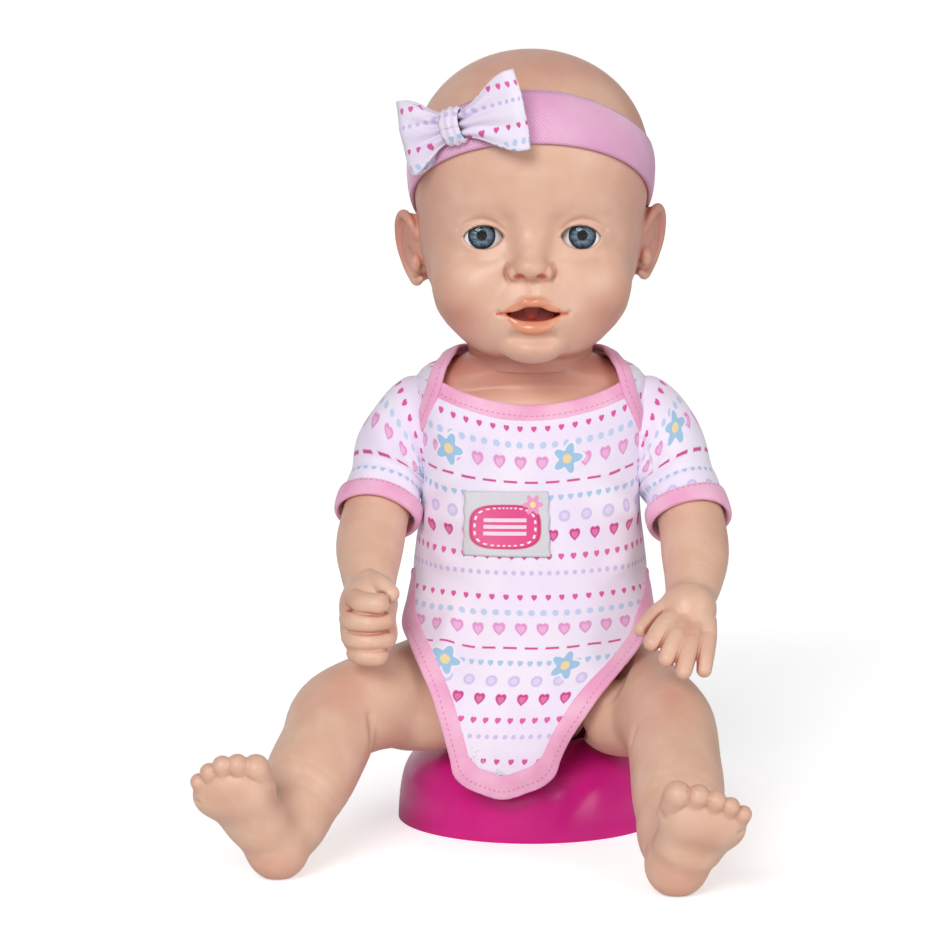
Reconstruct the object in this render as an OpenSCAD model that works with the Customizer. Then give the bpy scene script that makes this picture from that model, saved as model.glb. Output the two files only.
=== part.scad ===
// Drink-and-wet baby doll with a sound module, seated on its potty.
// Origin: centre of the potty's base, on the floor. +Z up, the doll faces -Y.
// The doll's own right side is -X.

/* [Head] */
// Height of the head from the neck seam to the crown
head_h = 121; // [116:1:128]
// Half width of the skull
skull_w = 47; // [44:0.5:50]
// Depth of the head in front of the neck axis
skull_front = 51; // [49:0.5:54]
// Depth of the head behind the neck axis
skull_back = 56; // [50:0.5:60]
// Wall of the cast vinyl head
head_wall = 3; // [2.5:0.1:3.5]
// Distance of each eye from the middle
eye_x = 19.5; // [18.5:0.25:20.5]
// Height of the eyes above the neck seam
eye_h = 50.5; // [49:0.5:52]
// Radius of an eyeball
eye_r = 10.2; // [9.6:0.1:10.6]
// Width of the eye opening
eye_open_w = 17; // [15:0.5:18]
// Height of the eye opening
eye_open_h = 10; // [8:0.5:11]
// Radius of the coloured iris
iris_r = 5.3; // [4.6:0.1:5.8]
// Height of the mouth above the neck seam
mouth_h = 21; // [20:0.25:22]
// Width of the open mouth
mouth_w = 21; // [19:0.5:23]
// Height of the open mouth
mouth_open = 8; // [7.5:0.25:9]
// Bore of the mouth that takes the bottle's spout
mouth_bore = 6; // [5:0.25:6.5]

/* [Head band] */
// Width of the elastic head band
band_w = 20; // [16:0.5:22]
// Thickness of the head band
band_t = 1.4; // [1:0.1:2]
// Height of the band's middle on the forehead, as a share of the head's height
band_front = 0.8; // [0.777:0.001:0.818]
// Drop of the band from forehead to nape, as a share of the head's height
band_drop = 0.445; // [0.365:0.005:0.48]
// Length of one bow wing
bow_wing = 25; // [21:0.5:27]

/* [Body] */
// Height of the neck seam above the floor
seam_z = 187.5; // [186:0.5:190]
// Half width of the belly
belly_w = 44.5; // [42:0.5:46]
// Depth of the belly in front of the neck axis
belly_front = 41; // [39:0.5:43]
// Depth of the back behind the neck axis
back_depth = 34; // [33:0.5:36]
// Wall of the moulded body halves
body_wall = 2.2; // [1.8:0.1:2.6]
// Radius of the neck
neck_r = 24; // [22.5:0.25:25]
// Radius of the pin that the head turns on
neck_pin_r = 11; // [10:0.25:12]

/* [Arms] */
// Distance of the shoulder face from the middle
shoulder_x = 44.5; // [44:0.25:47]
// Height of the shoulder axis above the floor
shoulder_z = 158; // [156:0.5:160]
// Tilt of the shoulder axis, down towards the outside
shoulder_tilt = 6; // [5:0.25:7]
// Thickness of the forearm
forearm_d = 26.6; // [24:0.2:28]
// Radius of the shoulder pin
shoulder_pin_r = 6; // [5:0.25:7]
// Thickness of a finger
finger_d = 7; // [6:0.25:7.5]
// Wall of the hollow cast arms and legs
limb_wall = 2.6; // [2.2:0.1:3]

/* [Legs] */
// Distance of the hip face's middle from the body's middle
hip_x = 33; // [32.5:0.25:35]
// Height of the hip axis above the floor
hip_z = 60; // [59.5:0.25:62]
// Tilt of the hip axis, down towards the outside
hip_tilt = 30; // [26:0.5:32]
// Thickness of the thigh
thigh_d = 39; // [37:0.5:40]
// Thickness of the calf
calf_d = 35; // [33:0.5:36]
// Radius of the hip pin
hip_pin_r = 8; // [7:0.25:9]
// Width of the foot at the toes
foot_w = 31; // [28:0.5:33]

/* [Bodysuit] */
// Thickness of the knitted cloth
cloth_t = 1.1; // [0.8:0.1:1.4]
// Ease between the body and the cloth
cloth_ease = 0.9; // [0.7:0.1:1.1]
// Width of the bindings
binding_w = 7; // [5:0.25:8]
// Radius of the sleeve's mouth
sleeve_r = 16.2; // [15.8:0.1:17.5]
// Width of the woven chest label
label_w = 32; // [26:1:36]
// Height of the woven chest label
label_h = 24; // [20:1:28]

/* [Potty] */
// Radius of the potty's foot
potty_r = 53; // [50:0.5:56]
// Height of the potty
potty_h = 36; // [34:0.25:37]
// Radius of the bowl's mouth
bowl_r = 27.5; // [27:0.25:29]
// Wall of the moulded potty
potty_wall = 2.4; // [1.8:0.1:3]

/* [Sound module] */
// Radius of the tummy button
button_r = 10; // [8:0.5:12]
// Travel of the tummy button
button_travel = 2; // [1:0.25:2.5]
// Radius of the speaker
speaker_r = 14; // [11:0.5:15]
// Diameter of an AAA cell
cell_d = 10.5; // [10:0.1:11]
// Length of an AAA cell
cell_len = 44.5; // [42:0.5:45]
// Radius of the water tank
tank_r = 13; // [10:0.5:14]
// Height of the water tank
tank_h = 46; // [36:1:50]
// Outer diameter of the soft water tube
tube_d = 6; // [5:0.25:6.5]

/* [Hidden] */

// Colours
vinyl = [0.90, 0.70, 0.58];
cloth_white = [0.95, 0.93, 0.97];
binding_pink = [0.93, 0.60, 0.74];
potty_pink = [0.82, 0.08, 0.50];
plastic_white = [0.93, 0.92, 0.90];

$fn = 48;
fit = 0.3;              // running clearance between pieces that turn or slide
seat = 0.15;            // clearance of a seated piece
seam_gap = 0.5;         // gap in the neck, shoulder and hip seams
far = 200;              // reach of a cutting block

// ---------------------------------------------------------------- helpers
function unit(v) = v / norm(v);
function clamp(v, lo, hi) = min(max(v, lo), hi);
// Catmull-Rom value through the rows of list p at position f, 0 to len(p)-1
function smooth(p, f) =
    let (n = len(p) - 1, i = clamp(floor(f), 0, n - 1), t = f - i,
         a = p[max(i - 1, 0)], b = p[i], c = p[i + 1], d = p[min(i + 2, n)])
    0.5 * (2 * b + (c - a) * t + (2 * a - 5 * b + 4 * c - d) * t * t
           + (3 * b - a - 3 * c + d) * t * t * t);
// Position in a list sorted by its first column where that column reaches v
function find_row(p, v, i = 0) =
    i >= len(p) - 2 || v < p[i + 1][0]
    ? i + clamp((v - p[i][0]) / (p[i + 1][0] - p[i][0]), 0, 1)
    : find_row(p, v, i + 1);
// Other columns of a sorted list at first-column value v
function profile(p, v) = smooth(p, find_row(p, v));
function place(p) = [p[0], p[1], p[2]];
function bump(x, z, cx, cz, sx, sz, h) =
    h * exp(-pow((x - cx) / sx, 2) - pow((z - cz) / sz, 2));

// Closed solid through rings of equal length, each running counterclockwise about the way
// on to the next. loop joins the last ring to the first. Where strip is set, a ring is the two
// long sides of a thin section, and its ends are closed from side to side.
module skin(rings, loop = false, strip = false) {
    n = len(rings[0]);
    m = len(rings);
    points = [for (r = rings) each r];
    sides = [for (j = [0 : m - (loop ? 1 : 2)]) for (i = [0 : n - 1])
        let (a = j * n + i, b = j * n + (i + 1) % n, k = (j + 1) % m,
             c = k * n + (i + 1) % n, d = k * n + i)
        each [[a, c, b], [a, d, c]]];
    cap = strip ? [for (i = [0 : n / 2 - 2]) each [[i, i + 1, n - 2 - i], [i, n - 2 - i, n - 1 - i]]]
                : [[for (i = [0 : n - 1]) i]];
    far_cap = [for (f = cap) [for (k = [len(f) - 1 : -1 : 0]) (m - 1) * n + f[k]]];
    polyhedron(points, loop ? sides : concat(sides, cap, far_cap), convexity = 6);
}

// Ring of n points round centre c, square to t, with half width ru across and rv along
function ring(c, t, ru, rv, n, ref = [1, 0, 0]) =
    let (v = unit(cross(t, ref)), u = cross(v, t))
    [for (k = [0 : n - 1]) c + ru * cos(360 * k / n) * u + rv * sin(360 * k / n) * v];

// Rings along a spine of [x, y, z, half thickness] rows, steps to each row
function tube_rings(spine, n, steps, grow = 0) =
    [for (j = [0 : (len(spine) - 1) * steps])
        let (f = j / steps, p = smooth(spine, f),
             q = smooth(spine, min(f + 0.1, len(spine) - 1)), o = smooth(spine, max(f - 0.1, 0)))
        ring(place(p), unit(place(q) - place(o)), p[3] + grow, p[3] + grow, n)];

// Lens outline of width w and height h made of two arcs
module almond(w, h) {
    r = (w * w / 4 + h * h / 4) / h;
    intersection() {
        translate([0, h / 2 - r]) circle(r = r, $fn = 96);
        translate([0, r - h / 2]) circle(r = r, $fn = 96);
    }
}

// Children drawn round +Z are laid along an axis: side -1 right, +1 left, tilt down outwards
module on_axis(side, x, y, z, tilt) {
    translate([side * x, y, z]) rotate([0, side * (90 + tilt), 0]) children();
}

module rod(r, from, to) {
    translate([0, 0, from]) cylinder(r = r, h = to - from, $fn = 64);
}

module slab(r, from, to) {
    translate([-r, -r, from]) cube([2 * r, 2 * r, to - from]);
}

// ---------------------------------------------------------------- head
crown_f = 0.616;        // share of the head's height where the skull is widest
section_power = 0.87;   // below 1 makes the head's sections squarer than an ellipse
face_relief = 4;        // extra depth kept behind the face for sockets and lips
// Share of the head's height, then of the half width, front depth and back depth
head_rows = [
    [0.000, 0.49, 0.45, 0.41], [0.025, 0.50, 0.62, 0.42], [0.055, 0.52, 0.84, 0.45],
    [0.087, 0.56, 0.92, 0.50], [0.128, 0.67, 0.94, 0.59], [0.186, 0.79, 0.94, 0.70],
    [0.269, 0.88, 0.93, 0.80], [0.370, 0.93, 0.90, 0.90], [0.450, 0.95, 0.92, 0.95],
    [0.530, 0.985, 0.965, 0.985], [crown_f, 1, 1, 1]
];
head_scale = head_h / 121;
mouth_z = seam_z + mouth_h;
eye_z = seam_z + eye_h;
eye_y = -31.4;

function crown_taper(f) = sqrt(max(0, 1 - pow(max(0, (f - crown_f) / (1 - crown_f)), 2.2)));
function signed_power(v) = sign(v) * pow(abs(v), section_power);
// Point of the plain skull at azimuth a from the face, height share f, moved out by off
function skull_point(a, f, off) =
    let (s = profile(head_rows, min(f, crown_f)), k = crown_taper(f),
         w = max(0.4, s[1] * skull_w * k + off),
         depth = cos(a) > 0 ? max(0.4, s[2] * skull_front * k + off)
                            : max(0.4, s[3] * skull_back * k + off))
    [w * signed_power(sin(a)), -depth * signed_power(cos(a)), seam_z + f * head_h];
// Relief of the face at x and height h above the neck seam
function face_bumps(x, h) =
    let (s = abs(x))
    bump(x, h, 0, 38.5, 6, 5.2, 10) + bump(s, h, 6, 35.5, 4.2, 3.8, 3.5)
    + bump(x, h, 0, 47, 5, 9, 2.5) + bump(s, h, eye_x, eye_h, 9.5, 6.5, -2.6)
    + bump(s, h, 24, 28, 11, 11, 3.2) + bump(x, h, 0, 24, 15, 9, 2.6)
    + bump(x, h, 0, mouth_h + 5.5, 9, 2.4, 2.4) + bump(x, h, 0, mouth_h - 6, 8.5, 2.8, 3)
    + bump(x, h, 0, 7.5, 10, 4.5, 2.4) + bump(x, h, 0, 11.5, 9, 2, -1.2);
function face_point(a, f) =
    let (p = skull_point(a, f, 0))
    cos(a) > 0 ? p - [0, face_bumps(p[0], f * head_h / head_scale), 0] : p;
// Azimuths run closer together over the face
function face_azimuth(t) = t - 27 * sin(t);

module head_outside() {
    columns = 42;
    rows = 23;
    low = [for (i = [0 : rows]) crown_f * i / rows];
    high = [for (t = [12 : 12 : 72]) crown_f + (1 - crown_f) * sin(t)];
    skin([for (f = concat(low, high, [0.99, 0.9985]))
        [for (i = [0 : columns - 1]) face_point(face_azimuth(360 * i / columns), f)]]);
}

module head_inside() {
    columns = 20;
    rows = 10;
    low = head_wall / head_h;
    skin([for (j = [0 : rows])
        let (f = low + (0.985 - low - head_wall / head_h) * sin(90 * j / rows))
        [for (i = [0 : columns - 1])
            let (a = 360 * i / columns)
            skull_point(a, f, -head_wall - face_relief * pow(max(0, cos(a)), 2))]]);
}

// One ear: a rounded flap with the hollow of its shell
module ear(side) {
    z = seam_z + 43.5 * head_scale;
    out = skull_w - 3.5;
    difference() {
        hull() {
            for (p = [[5, 8, 9, 5.2], [5.5, 12, 2, 4.4], [1, 5, -10.5, 4], [0, 3, 3, 5]])
                translate([side * (out + p[0]), p[1], z + p[2]]) sphere(r = p[3], $fn = 14);
        }
        translate([side * (out + 9.5), 2.5, z + 3]) sphere(r = 5.4, $fn = 64);
    }
}

module at_eye(side) {
    translate([side * eye_x, eye_y, eye_z]) rotate([90, 0, 0]) children();
}

module head_shell() {
    color(vinyl) difference() {
        union() {
            head_outside();
            ear(-1);
            ear(1);
        }
        head_inside();
        for (side = [-1, 1]) at_eye(side) {
            sphere(r = eye_r + seat, $fn = 64);
            linear_extrude(height = 30) almond(eye_open_w, eye_open_h);
        }
        translate([0, funnel_y - seat, mouth_z]) rotate([90, 0, 0])
            linear_extrude(height = 30) almond(mouth_w, mouth_open);
        translate([0, 0, mouth_z]) rotate([-90, 0, 0])
            rod(funnel_flange_r + seat, funnel_y - seat, funnel_y + 14);
        translate([0, 0, seam_z - 1]) cylinder(r = neck_pin_r + fit, h = 8, $fn = 64);
    }
}

// Eyeball with a flat-bottomed seat for the iris and the clear cornea
iris_seat = 7.6;        // depth of the seat's floor in front of the eye's centre
iris_t = 0.6;
module eyeball(side) {
    color("white") at_eye(side) difference() {
        sphere(r = eye_r, $fn = 64);
        rod(iris_r + 0.1, iris_seat, eye_r + 1);
    }
}
module iris(side) {
    color([0.30, 0.45, 0.55]) at_eye(side) difference() {
        rod(iris_r, iris_seat, iris_seat + iris_t);
        rod(iris_r * 0.4, iris_seat + iris_t / 2, iris_seat + 1);
    }
}
module cornea(side) {
    color([0.8, 0.9, 1, 0.4]) at_eye(side) intersection() {
        sphere(r = eye_r, $fn = 64);
        rod(iris_r, iris_seat + iris_t, eye_r + 1);
    }
}
module eyeball_right() eyeball(-1);
module eyeball_left() eyeball(1);
module iris_right() iris(-1);
module iris_left() iris(1);
module cornea_right() cornea(-1);
module cornea_left() cornea(1);

// Drinking mouth: a flanged nipple seat behind the lips, with the hose on its tail
funnel_y = -42.5;
funnel_flange_r = 8.5;
funnel_len = 16;
funnel_depth = 9;       // depth of the bore that takes the bottle's spout
hose_hole = 3.6;        // bore of the soft hose
module mouth_funnel() {
    tail = tube_d / 2 + 1.6;
    color([0.72, 0.25, 0.25]) translate([0, 0, mouth_z]) rotate([-90, 0, 0]) difference() {
        union() {
            rod(funnel_flange_r, funnel_y, funnel_y + 1.6);
            rod(tail, funnel_y, funnel_y + funnel_len);
        }
        rod(mouth_bore / 2, funnel_y - 1, funnel_y + funnel_depth);
        rod(hose_hole / 2, funnel_y, funnel_y + funnel_len + 1);
        rod(tube_d / 2 + seat, funnel_y + funnel_depth + 2, funnel_y + funnel_len + 1);
    }
}

// Hose from the funnel, round one quarter bend, down through the neck pin
hose_bend = 18;
hose_low = 171;
module hose(r, extra) {
    translate([0, 0, mouth_z]) rotate([-90, 0, 0])
        rod(r, funnel_y + funnel_depth + 2 + seat - extra, -hose_bend);
    translate([0, -hose_bend, mouth_z - hose_bend]) rotate([90, 0, 90])
        rotate_extrude(angle = 90) translate([hose_bend, 0]) circle(r = r);
    rod(r, hose_low - extra, mouth_z - hose_bend);
}
module throat_tube() {
    color([0.85, 0.85, 0.80]) difference() {
        hose(tube_d / 2, 0);
        hose(hose_hole / 2, 1);
    }
}

// ---------------------------------------------------------------- head band
band_gap = 0.5;
// Height share of the band's middle at azimuth a
function band_mid(a) = band_front - band_drop * (1 - cos(a)) / 2;
function band_corner(a, up, off) =
    skull_point(a, band_mid(a) + up * band_w * 0.5 / head_h, off);
module head_band() {
    columns = 40;
    color(binding_pink) skin([for (i = [0 : columns - 1])
        let (a = 360 * i / columns, o = band_gap + band_t)
        [band_corner(a, -1, band_gap), band_corner(a, 0, band_gap + 0.4),
         band_corner(a, 1, band_gap), band_corner(a, 1, o), band_corner(a, 0, o + 0.4),
         band_corner(a, -1, o)]], loop = true);
}

// Bow: two puffed wings pinched by a knot, on the band over the right temple
bow_azimuth = -34;      // where the bow sits on the band
bow_turn = -30;
bow_lean = -14;
bow_half = 3.2;         // half thickness of a wing
module at_bow() {
    translate(band_corner(bow_azimuth, 0.1, band_gap + band_t + bow_half + 0.3))
        rotate(bow_turn) rotate([0, bow_lean, 0]) children();
}
module bow_wings() {
    color(cloth_white) at_bow() for (side = [-1, 1]) hull() {
        translate([side * 4.5, 0, 0]) sphere(r = bow_half, $fn = 10);
        for (up = [-1, 1])
            translate([side * bow_wing, -0.5, up * 11]) sphere(r = bow_half * 0.8, $fn = 10);
    }
}
module bow_knot() {
    color(cloth_white) at_bow() translate([0, -4.6, 0]) hull() {
        for (up = [-1, 1], side = [-1, 1])
            translate([side * 1.6, 0, up * 4.5]) sphere(r = 2.6, $fn = 12);
    }
}

// ---------------------------------------------------------------- body
body_base = potty_h - 6;                // lowest point of the body
body_top = seam_z - seam_gap;
armpit_w = 40.5;                        // half width of the chest between the arms
// Share of the body's height, then half width, front and back in millimetres
body_rows = [
    [0.000, 12, bowl_r - 9, bowl_r - 9], [0.020, 19, bowl_r - 3, bowl_r - 3],
    [0.041, 25, bowl_r - 0.1, bowl_r - 0.1], [0.080, 30, bowl_r + 4, bowl_r + 1.5],
    [0.130, 37, 36, 31],
    [0.19, 0.97 * belly_w, 0.975 * belly_front, 0.97 * back_depth],
    [0.30, belly_w, belly_front, back_depth],
    [0.40, 0.985 * belly_w, 0.97 * belly_front, 0.97 * back_depth],
    [0.50, 0.96 * belly_w, 0.90 * belly_front, 0.92 * back_depth],
    [0.60, armpit_w + 0.5, 34, 30], [0.71, armpit_w, 31, 28.5], [0.80, armpit_w, 28, 27.5],
    [0.865, armpit_w, 25.5, 26.5], [0.90, armpit_w - 1, 23.5, 25], [0.93, armpit_w - 4.5, 22.5, 24],
    [0.955, neck_r + 5.5, 22.8, 23.8], [0.975, neck_r + 1, neck_r - 0.4, neck_r - 0.3],
    [0.985, neck_r, neck_r, neck_r], [1.00, neck_r, neck_r, neck_r]
];
hip_y = -8;
shoulder_y = 0;
shoulder_boss_r = 12;
body_heights = [for (row = body_rows) body_base + row[0] * (body_top - body_base)];
function body_height(z) = (z - body_base) / (body_top - body_base);
// Point of the body's surface at azimuth a from the front and height z, moved out by off
function body_point(a, z, off) =
    let (s = profile(body_rows, body_height(z)))
    [(s[1] + off) * sin(a), -((cos(a) > 0 ? s[2] : s[3]) + off) * cos(a), z];

module body_loft(heights, columns, off) {
    skin([for (z = heights)
        [for (i = [0 : columns - 1]) body_point(360 * i / columns, z, off)]]);
}
// Everything outboard of a hip face, starting gap beyond it
module beyond_hip(side, gap) {
    on_axis(side, hip_x, hip_y, hip_z, hip_tilt) slab(far, gap, far);
}
module body_outside() {
    difference() {
        union() {
            body_loft(body_heights, 22, 0);
            for (side = [-1, 1])
                on_axis(side, shoulder_x, shoulder_y, shoulder_z, shoulder_tilt)
                    rod(shoulder_boss_r, -12, 0);
        }
        for (side = [-1, 1]) beyond_hip(side, 0);
    }
}
module body_inside() {
    difference() {
        body_loft(concat([body_base + body_wall], [for (i = [3 : 15]) body_heights[i]],
                         [body_top - body_wall]), 14, -body_wall - 0.8);
        for (side = [-1, 1]) beyond_hip(side, -body_wall);
    }
    for (side = [-1, 1])
        on_axis(side, shoulder_x, shoulder_y, shoulder_z, shoulder_tilt)
            rod(shoulder_boss_r - body_wall, -14, -body_wall);
}

// Screw places, x and z, and the depth at which a screw head seats
screw_places = [[-30, 128], [30, 128], [-9.5, 49], [9.5, 49]];
screw_boss_r = 4;
screw_r = 1.45;
screw_head_r = 3;
screw_head_y = 6;
screw_len = 16;
module along_y(x, z) {
    translate([x, 0, z]) rotate([-90, 0, 0]) children();
}
module joint_holes() {
    for (side = [-1, 1]) {
        on_axis(side, hip_x, hip_y, hip_z, hip_tilt) rod(hip_pin_r + fit, -8, 8);
        on_axis(side, shoulder_x, shoulder_y, shoulder_z, shoulder_tilt)
            rod(shoulder_pin_r + fit, -8, 1);
    }
    rod(neck_pin_r + seat, body_top - body_wall - 1, body_top + 1);
    rod(tube_d / 2 + fit, body_base - 1, body_base + 6);
}

button_z = 95;
button_lip = 2.2;       // overhang of the button's flange behind its hole
board_y = -22.5;
board_t = 1.6;
board_low = 78;
board_high = 116;
board_w = 38;
board_post_x = 15;
speaker_z = 142;
speaker_y = -23.6;
module half_space(front) {
    translate([-far, front ? -far : 0, 0]) cube([2 * far, far, 2 * far]);
}
// One half of the body's shell; children stay solid inside the hollow
module body_half(front) {
    intersection() {
        difference() {
            body_outside();
            difference() {
                body_inside();
                children();
            }
            joint_holes();
        }
        half_space(front);
    }
}
module torso_front() {
    color(vinyl) difference() {
        body_half(true) {
            for (p = screw_places) along_y(p[0], p[1]) rod(screw_boss_r, -60, -seat);
            for (x = [-1, 1], z = [board_low + 4, board_high - 4])
                along_y(x * board_post_x, z) rod(2.4, -60, board_y);
            along_y(0, speaker_z) difference() {
                rod(speaker_r + 1, -60, speaker_y);
                rod(speaker_r - 2, -61, speaker_y + 1);
            }
        }
        for (p = screw_places) along_y(p[0], p[1]) rod(screw_r + 0.1, -screw_len, 1);
        along_y(0, button_z) {
            rod(button_r + fit, -60, -30);
            rod(button_r + button_lip + fit, button_flange_y - seat, -20);
        }
        for (i = [0 : 5], r = [0, 4, 8])
            if (r > 0 || i == 0)
                along_y(r * cos(60 * i), speaker_z + r * sin(60 * i)) rod(1.1, -60, -20);
    }
}

box_w = cell_len + 3 * seat + 2 * 2.4;
box_y = 11.8;
box_wall = 1.4;
cell_pitch = cell_d + 0.3;
box_low = 62;
box_h = 3 * cell_pitch + 2 * box_wall + seat;
box_depth = cell_d + box_wall + 2 * seat;
door_y = box_y + box_depth + 0.2;
door_t = 2;
door_tab = 7;
door_screw_z = box_low + box_h + door_tab / 2;
switch_z = 114;
switch_travel = 4;
switch_y = 23.8;        // inner face of the switch's plate
tank_z = 122;
tank_y = -1;
module torso_rear() {
    color(vinyl) difference() {
        body_half(false) {
            for (p = screw_places) along_y(p[0], p[1]) rod(screw_boss_r, seat, 60);
            difference() {
                for (z = [tank_z + 8, tank_z + 34]) translate([-10, 4, z]) cube([20, 60, 2]);
                translate([0, tank_y, 0]) rod(tank_r + seat, 100, 180);
            }
        }
        for (p = screw_places) along_y(p[0], p[1]) {
            rod(screw_r + 0.25, -1, 60);
            rod(screw_head_r + 0.3, screw_head_y, 60);
        }
        translate([-box_w / 2 - fit, box_y - 1, box_low - fit])
            cube([box_w + 2 * fit, 40, box_h + door_tab + 2 * fit]);
        translate([-3.8, 20, switch_z - 6.3]) cube([7.6, 20, 6.6 + switch_travel]);
    }
}

// Pin that holds the head: lower flange inside the body, domed cap inside the head
pin_cap = 16;
module neck_post() {
    low = body_top - body_wall;
    cap = seam_z + head_wall + 0.35;
    color(plastic_white) rotate_extrude() difference() {
        polygon([[0, low - 3], [15, low - 3], [15, low - seat], [neck_pin_r, low - seat],
            [neck_pin_r, cap], [pin_cap, cap], [pin_cap, cap + 1.4],
            [neck_pin_r + 1, cap + 2.8], [0, cap + 2.8]]);
        square([tube_d / 2 + 1, 300]);
    }
}

module casing_screws() {
    color("silver") for (p = screw_places) along_y(p[0], p[1]) difference() {
        union() {
            rod(screw_r, screw_head_y - screw_len, screw_head_y);
            rod(screw_head_r, screw_head_y, screw_head_y + 2);
        }
        for (turn = [0, 90]) rotate(turn)
            translate([-2, -0.35, screw_head_y + 1]) cube([4, 0.7, 2]);
    }
}

// Water tank with an inlet neck that the hose turns in, and an outlet spigot
tank_wall = 1.5;
module water_tank() {
    top = tank_z + tank_h;
    color([0.75, 0.85, 0.92]) difference() {
        union() {
            translate([0, tank_y, 0]) rod(tank_r, tank_z, top);
            rod(tube_d / 2 + fit + 1.5, top - 1, hose_low + 5);
            rod(tube_d / 2 - 1.2 - seat, tank_z - 8, tank_z + 1);
        }
        translate([0, tank_y, 0]) rod(tank_r - tank_wall, tank_z + tank_wall, top - tank_wall);
        rod(tube_d / 2 + fit, top - 2, hose_low + 6);
        rod(0.9, tank_z - 9, tank_z + 2);
    }
}
module drain_tube() {
    color([0.85, 0.85, 0.80]) difference() {
        rod(tube_d / 2, body_base + 0.5, tank_z - seat);
        rod(tube_d / 2 - 1.2, body_base, tank_z);
    }
}

// Round tummy button pressed from the front, with a flange inside and a stem
button_face = -belly_front * 0.9;
button_flange_y = -34.6;
stem_end = board_y - 2.4 - button_travel;
module tummy_button() {
    color([0.95, 0.55, 0.70]) along_y(0, button_z) difference() {
        union() {
            rod(button_r, button_face, button_flange_y + 1.5);
            rod(button_r + button_lip, button_flange_y, button_flange_y + 1.5);
            rod(3, button_flange_y, stem_end);
        }
        difference() {
            rod(button_r - 2, button_face + 2, button_flange_y);
            rod(3, button_face, button_flange_y + 1);
        }
    }
}

// Return spring: a wire coil between the board and the button's flange
spring_r = 5;
spring_wire = 0.45;
module button_spring() {
    turns = 4.5;
    steps = 10;
    from = button_flange_y + 1.5 + spring_wire + 0.1;
    rise = board_y - 0.1 - 2 * spring_wire - 0.1 - from;
    color("silver") along_y(0, button_z) skin([for (j = [0 : turns * steps])
        let (a = 360 * j / steps, t = j / (turns * steps))
        ring([spring_r * cos(a), spring_r * sin(a), from + rise * t],
             unit([-sin(a) * spring_r, cos(a) * spring_r, rise / turns / 6.28]),
             spring_wire, spring_wire, 5, [0, 0, 1])]);
}

module circuit_board() {
    color([0.10, 0.45, 0.25]) {
        translate([-board_w / 2, board_y, board_low])
            cube([board_w, board_t, board_high - board_low]);
        along_y(0, button_z) rod(3.2, board_y - 2.2, board_y);
        for (x = [-12, 9]) translate([x, board_y + board_t, board_low + 6]) cube([6, 3, 8]);
    }
}

module speaker() {
    color([0.2, 0.2, 0.22]) along_y(0, speaker_z) rotate_extrude() polygon([
        [0, speaker_y + 3.2], [5, speaker_y + 3.2], [speaker_r - 2, speaker_y + 0.8],
        [speaker_r - 2, speaker_y + 0.1], [speaker_r, speaker_y + 0.1], [speaker_r, speaker_y + 1.6],
        [speaker_r - 2, speaker_y + 1.8], [7, speaker_y + 5.6], [7, speaker_y + 8],
        [0, speaker_y + 8]]);
}

module battery_box() {
    color([0.25, 0.25, 0.27]) {
        difference() {
            translate([-box_w / 2, box_y, box_low]) cube([box_w, box_depth, box_h]);
            translate([-box_w / 2 + box_wall, box_y + box_wall, box_low + box_wall])
                cube([box_w - 2 * box_wall, box_depth, box_h - 2 * box_wall]);
        }
        difference() {
            translate([-4, box_y + 3, box_low + box_h]) cube([8, box_depth - 3, door_tab]);
            along_y(0, door_screw_z) rod(screw_r + 0.1, box_y + 4, 60);
        }
    }
}
module battery_cells() {
    for (i = [0 : 2])
        translate([-cell_len / 2, box_y + box_wall + seat + cell_d / 2,
                   box_low + box_wall + seat + cell_pitch * (i + 0.5)])
            rotate([0, 90, 0]) color([0.15, 0.35, 0.65]) {
                cylinder(d = cell_d, h = cell_len - 1, $fn = 64);
                cylinder(d = 3.8, h = cell_len, $fn = 64);
            }
}
module battery_door() {
    color(vinyl) difference() {
        translate([-box_w / 2, door_y, box_low]) cube([box_w, door_t, box_h + door_tab]);
        along_y(0, door_screw_z) {
            rod(screw_r + 0.2, 0, 60);
            rod(screw_head_r + 0.2, door_y + 0.9, 60);
        }
        for (i = [-3 : 3]) translate([i * 4 - 0.5, door_y + 1.4, box_low + 5])
            cube([1, 2, 8]);
    }
}
module door_screw() {
    color("silver") along_y(0, door_screw_z) difference() {
        union() {
            rod(screw_r, box_y + 5, door_y + 1);
            rod(screw_head_r, door_y + 1, door_y + 2.4);
        }
        for (turn = [0, 90]) rotate(turn) translate([-2, -0.35, door_y + 1.6]) cube([4, 0.7, 2]);
    }
}

// Slide switch in the back: knob through the slot, plate behind it
module power_switch() {
    color([0.2, 0.2, 0.22]) {
        translate([-6, switch_y, switch_z - 8]) cube([12, 2, 10]);
        translate([-3.5, switch_y + 2, switch_z - 6]) cube([7, 4, 6]);
        for (z = [-5, -3, -1])
            translate([-3.5, switch_y + 6, switch_z + z - 0.4]) cube([7, 0.4, 0.8]);
    }
}

// ---------------------------------------------------------------- arms
forearm_r = forearm_d / 2;
finger_r = finger_d / 2;
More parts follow.
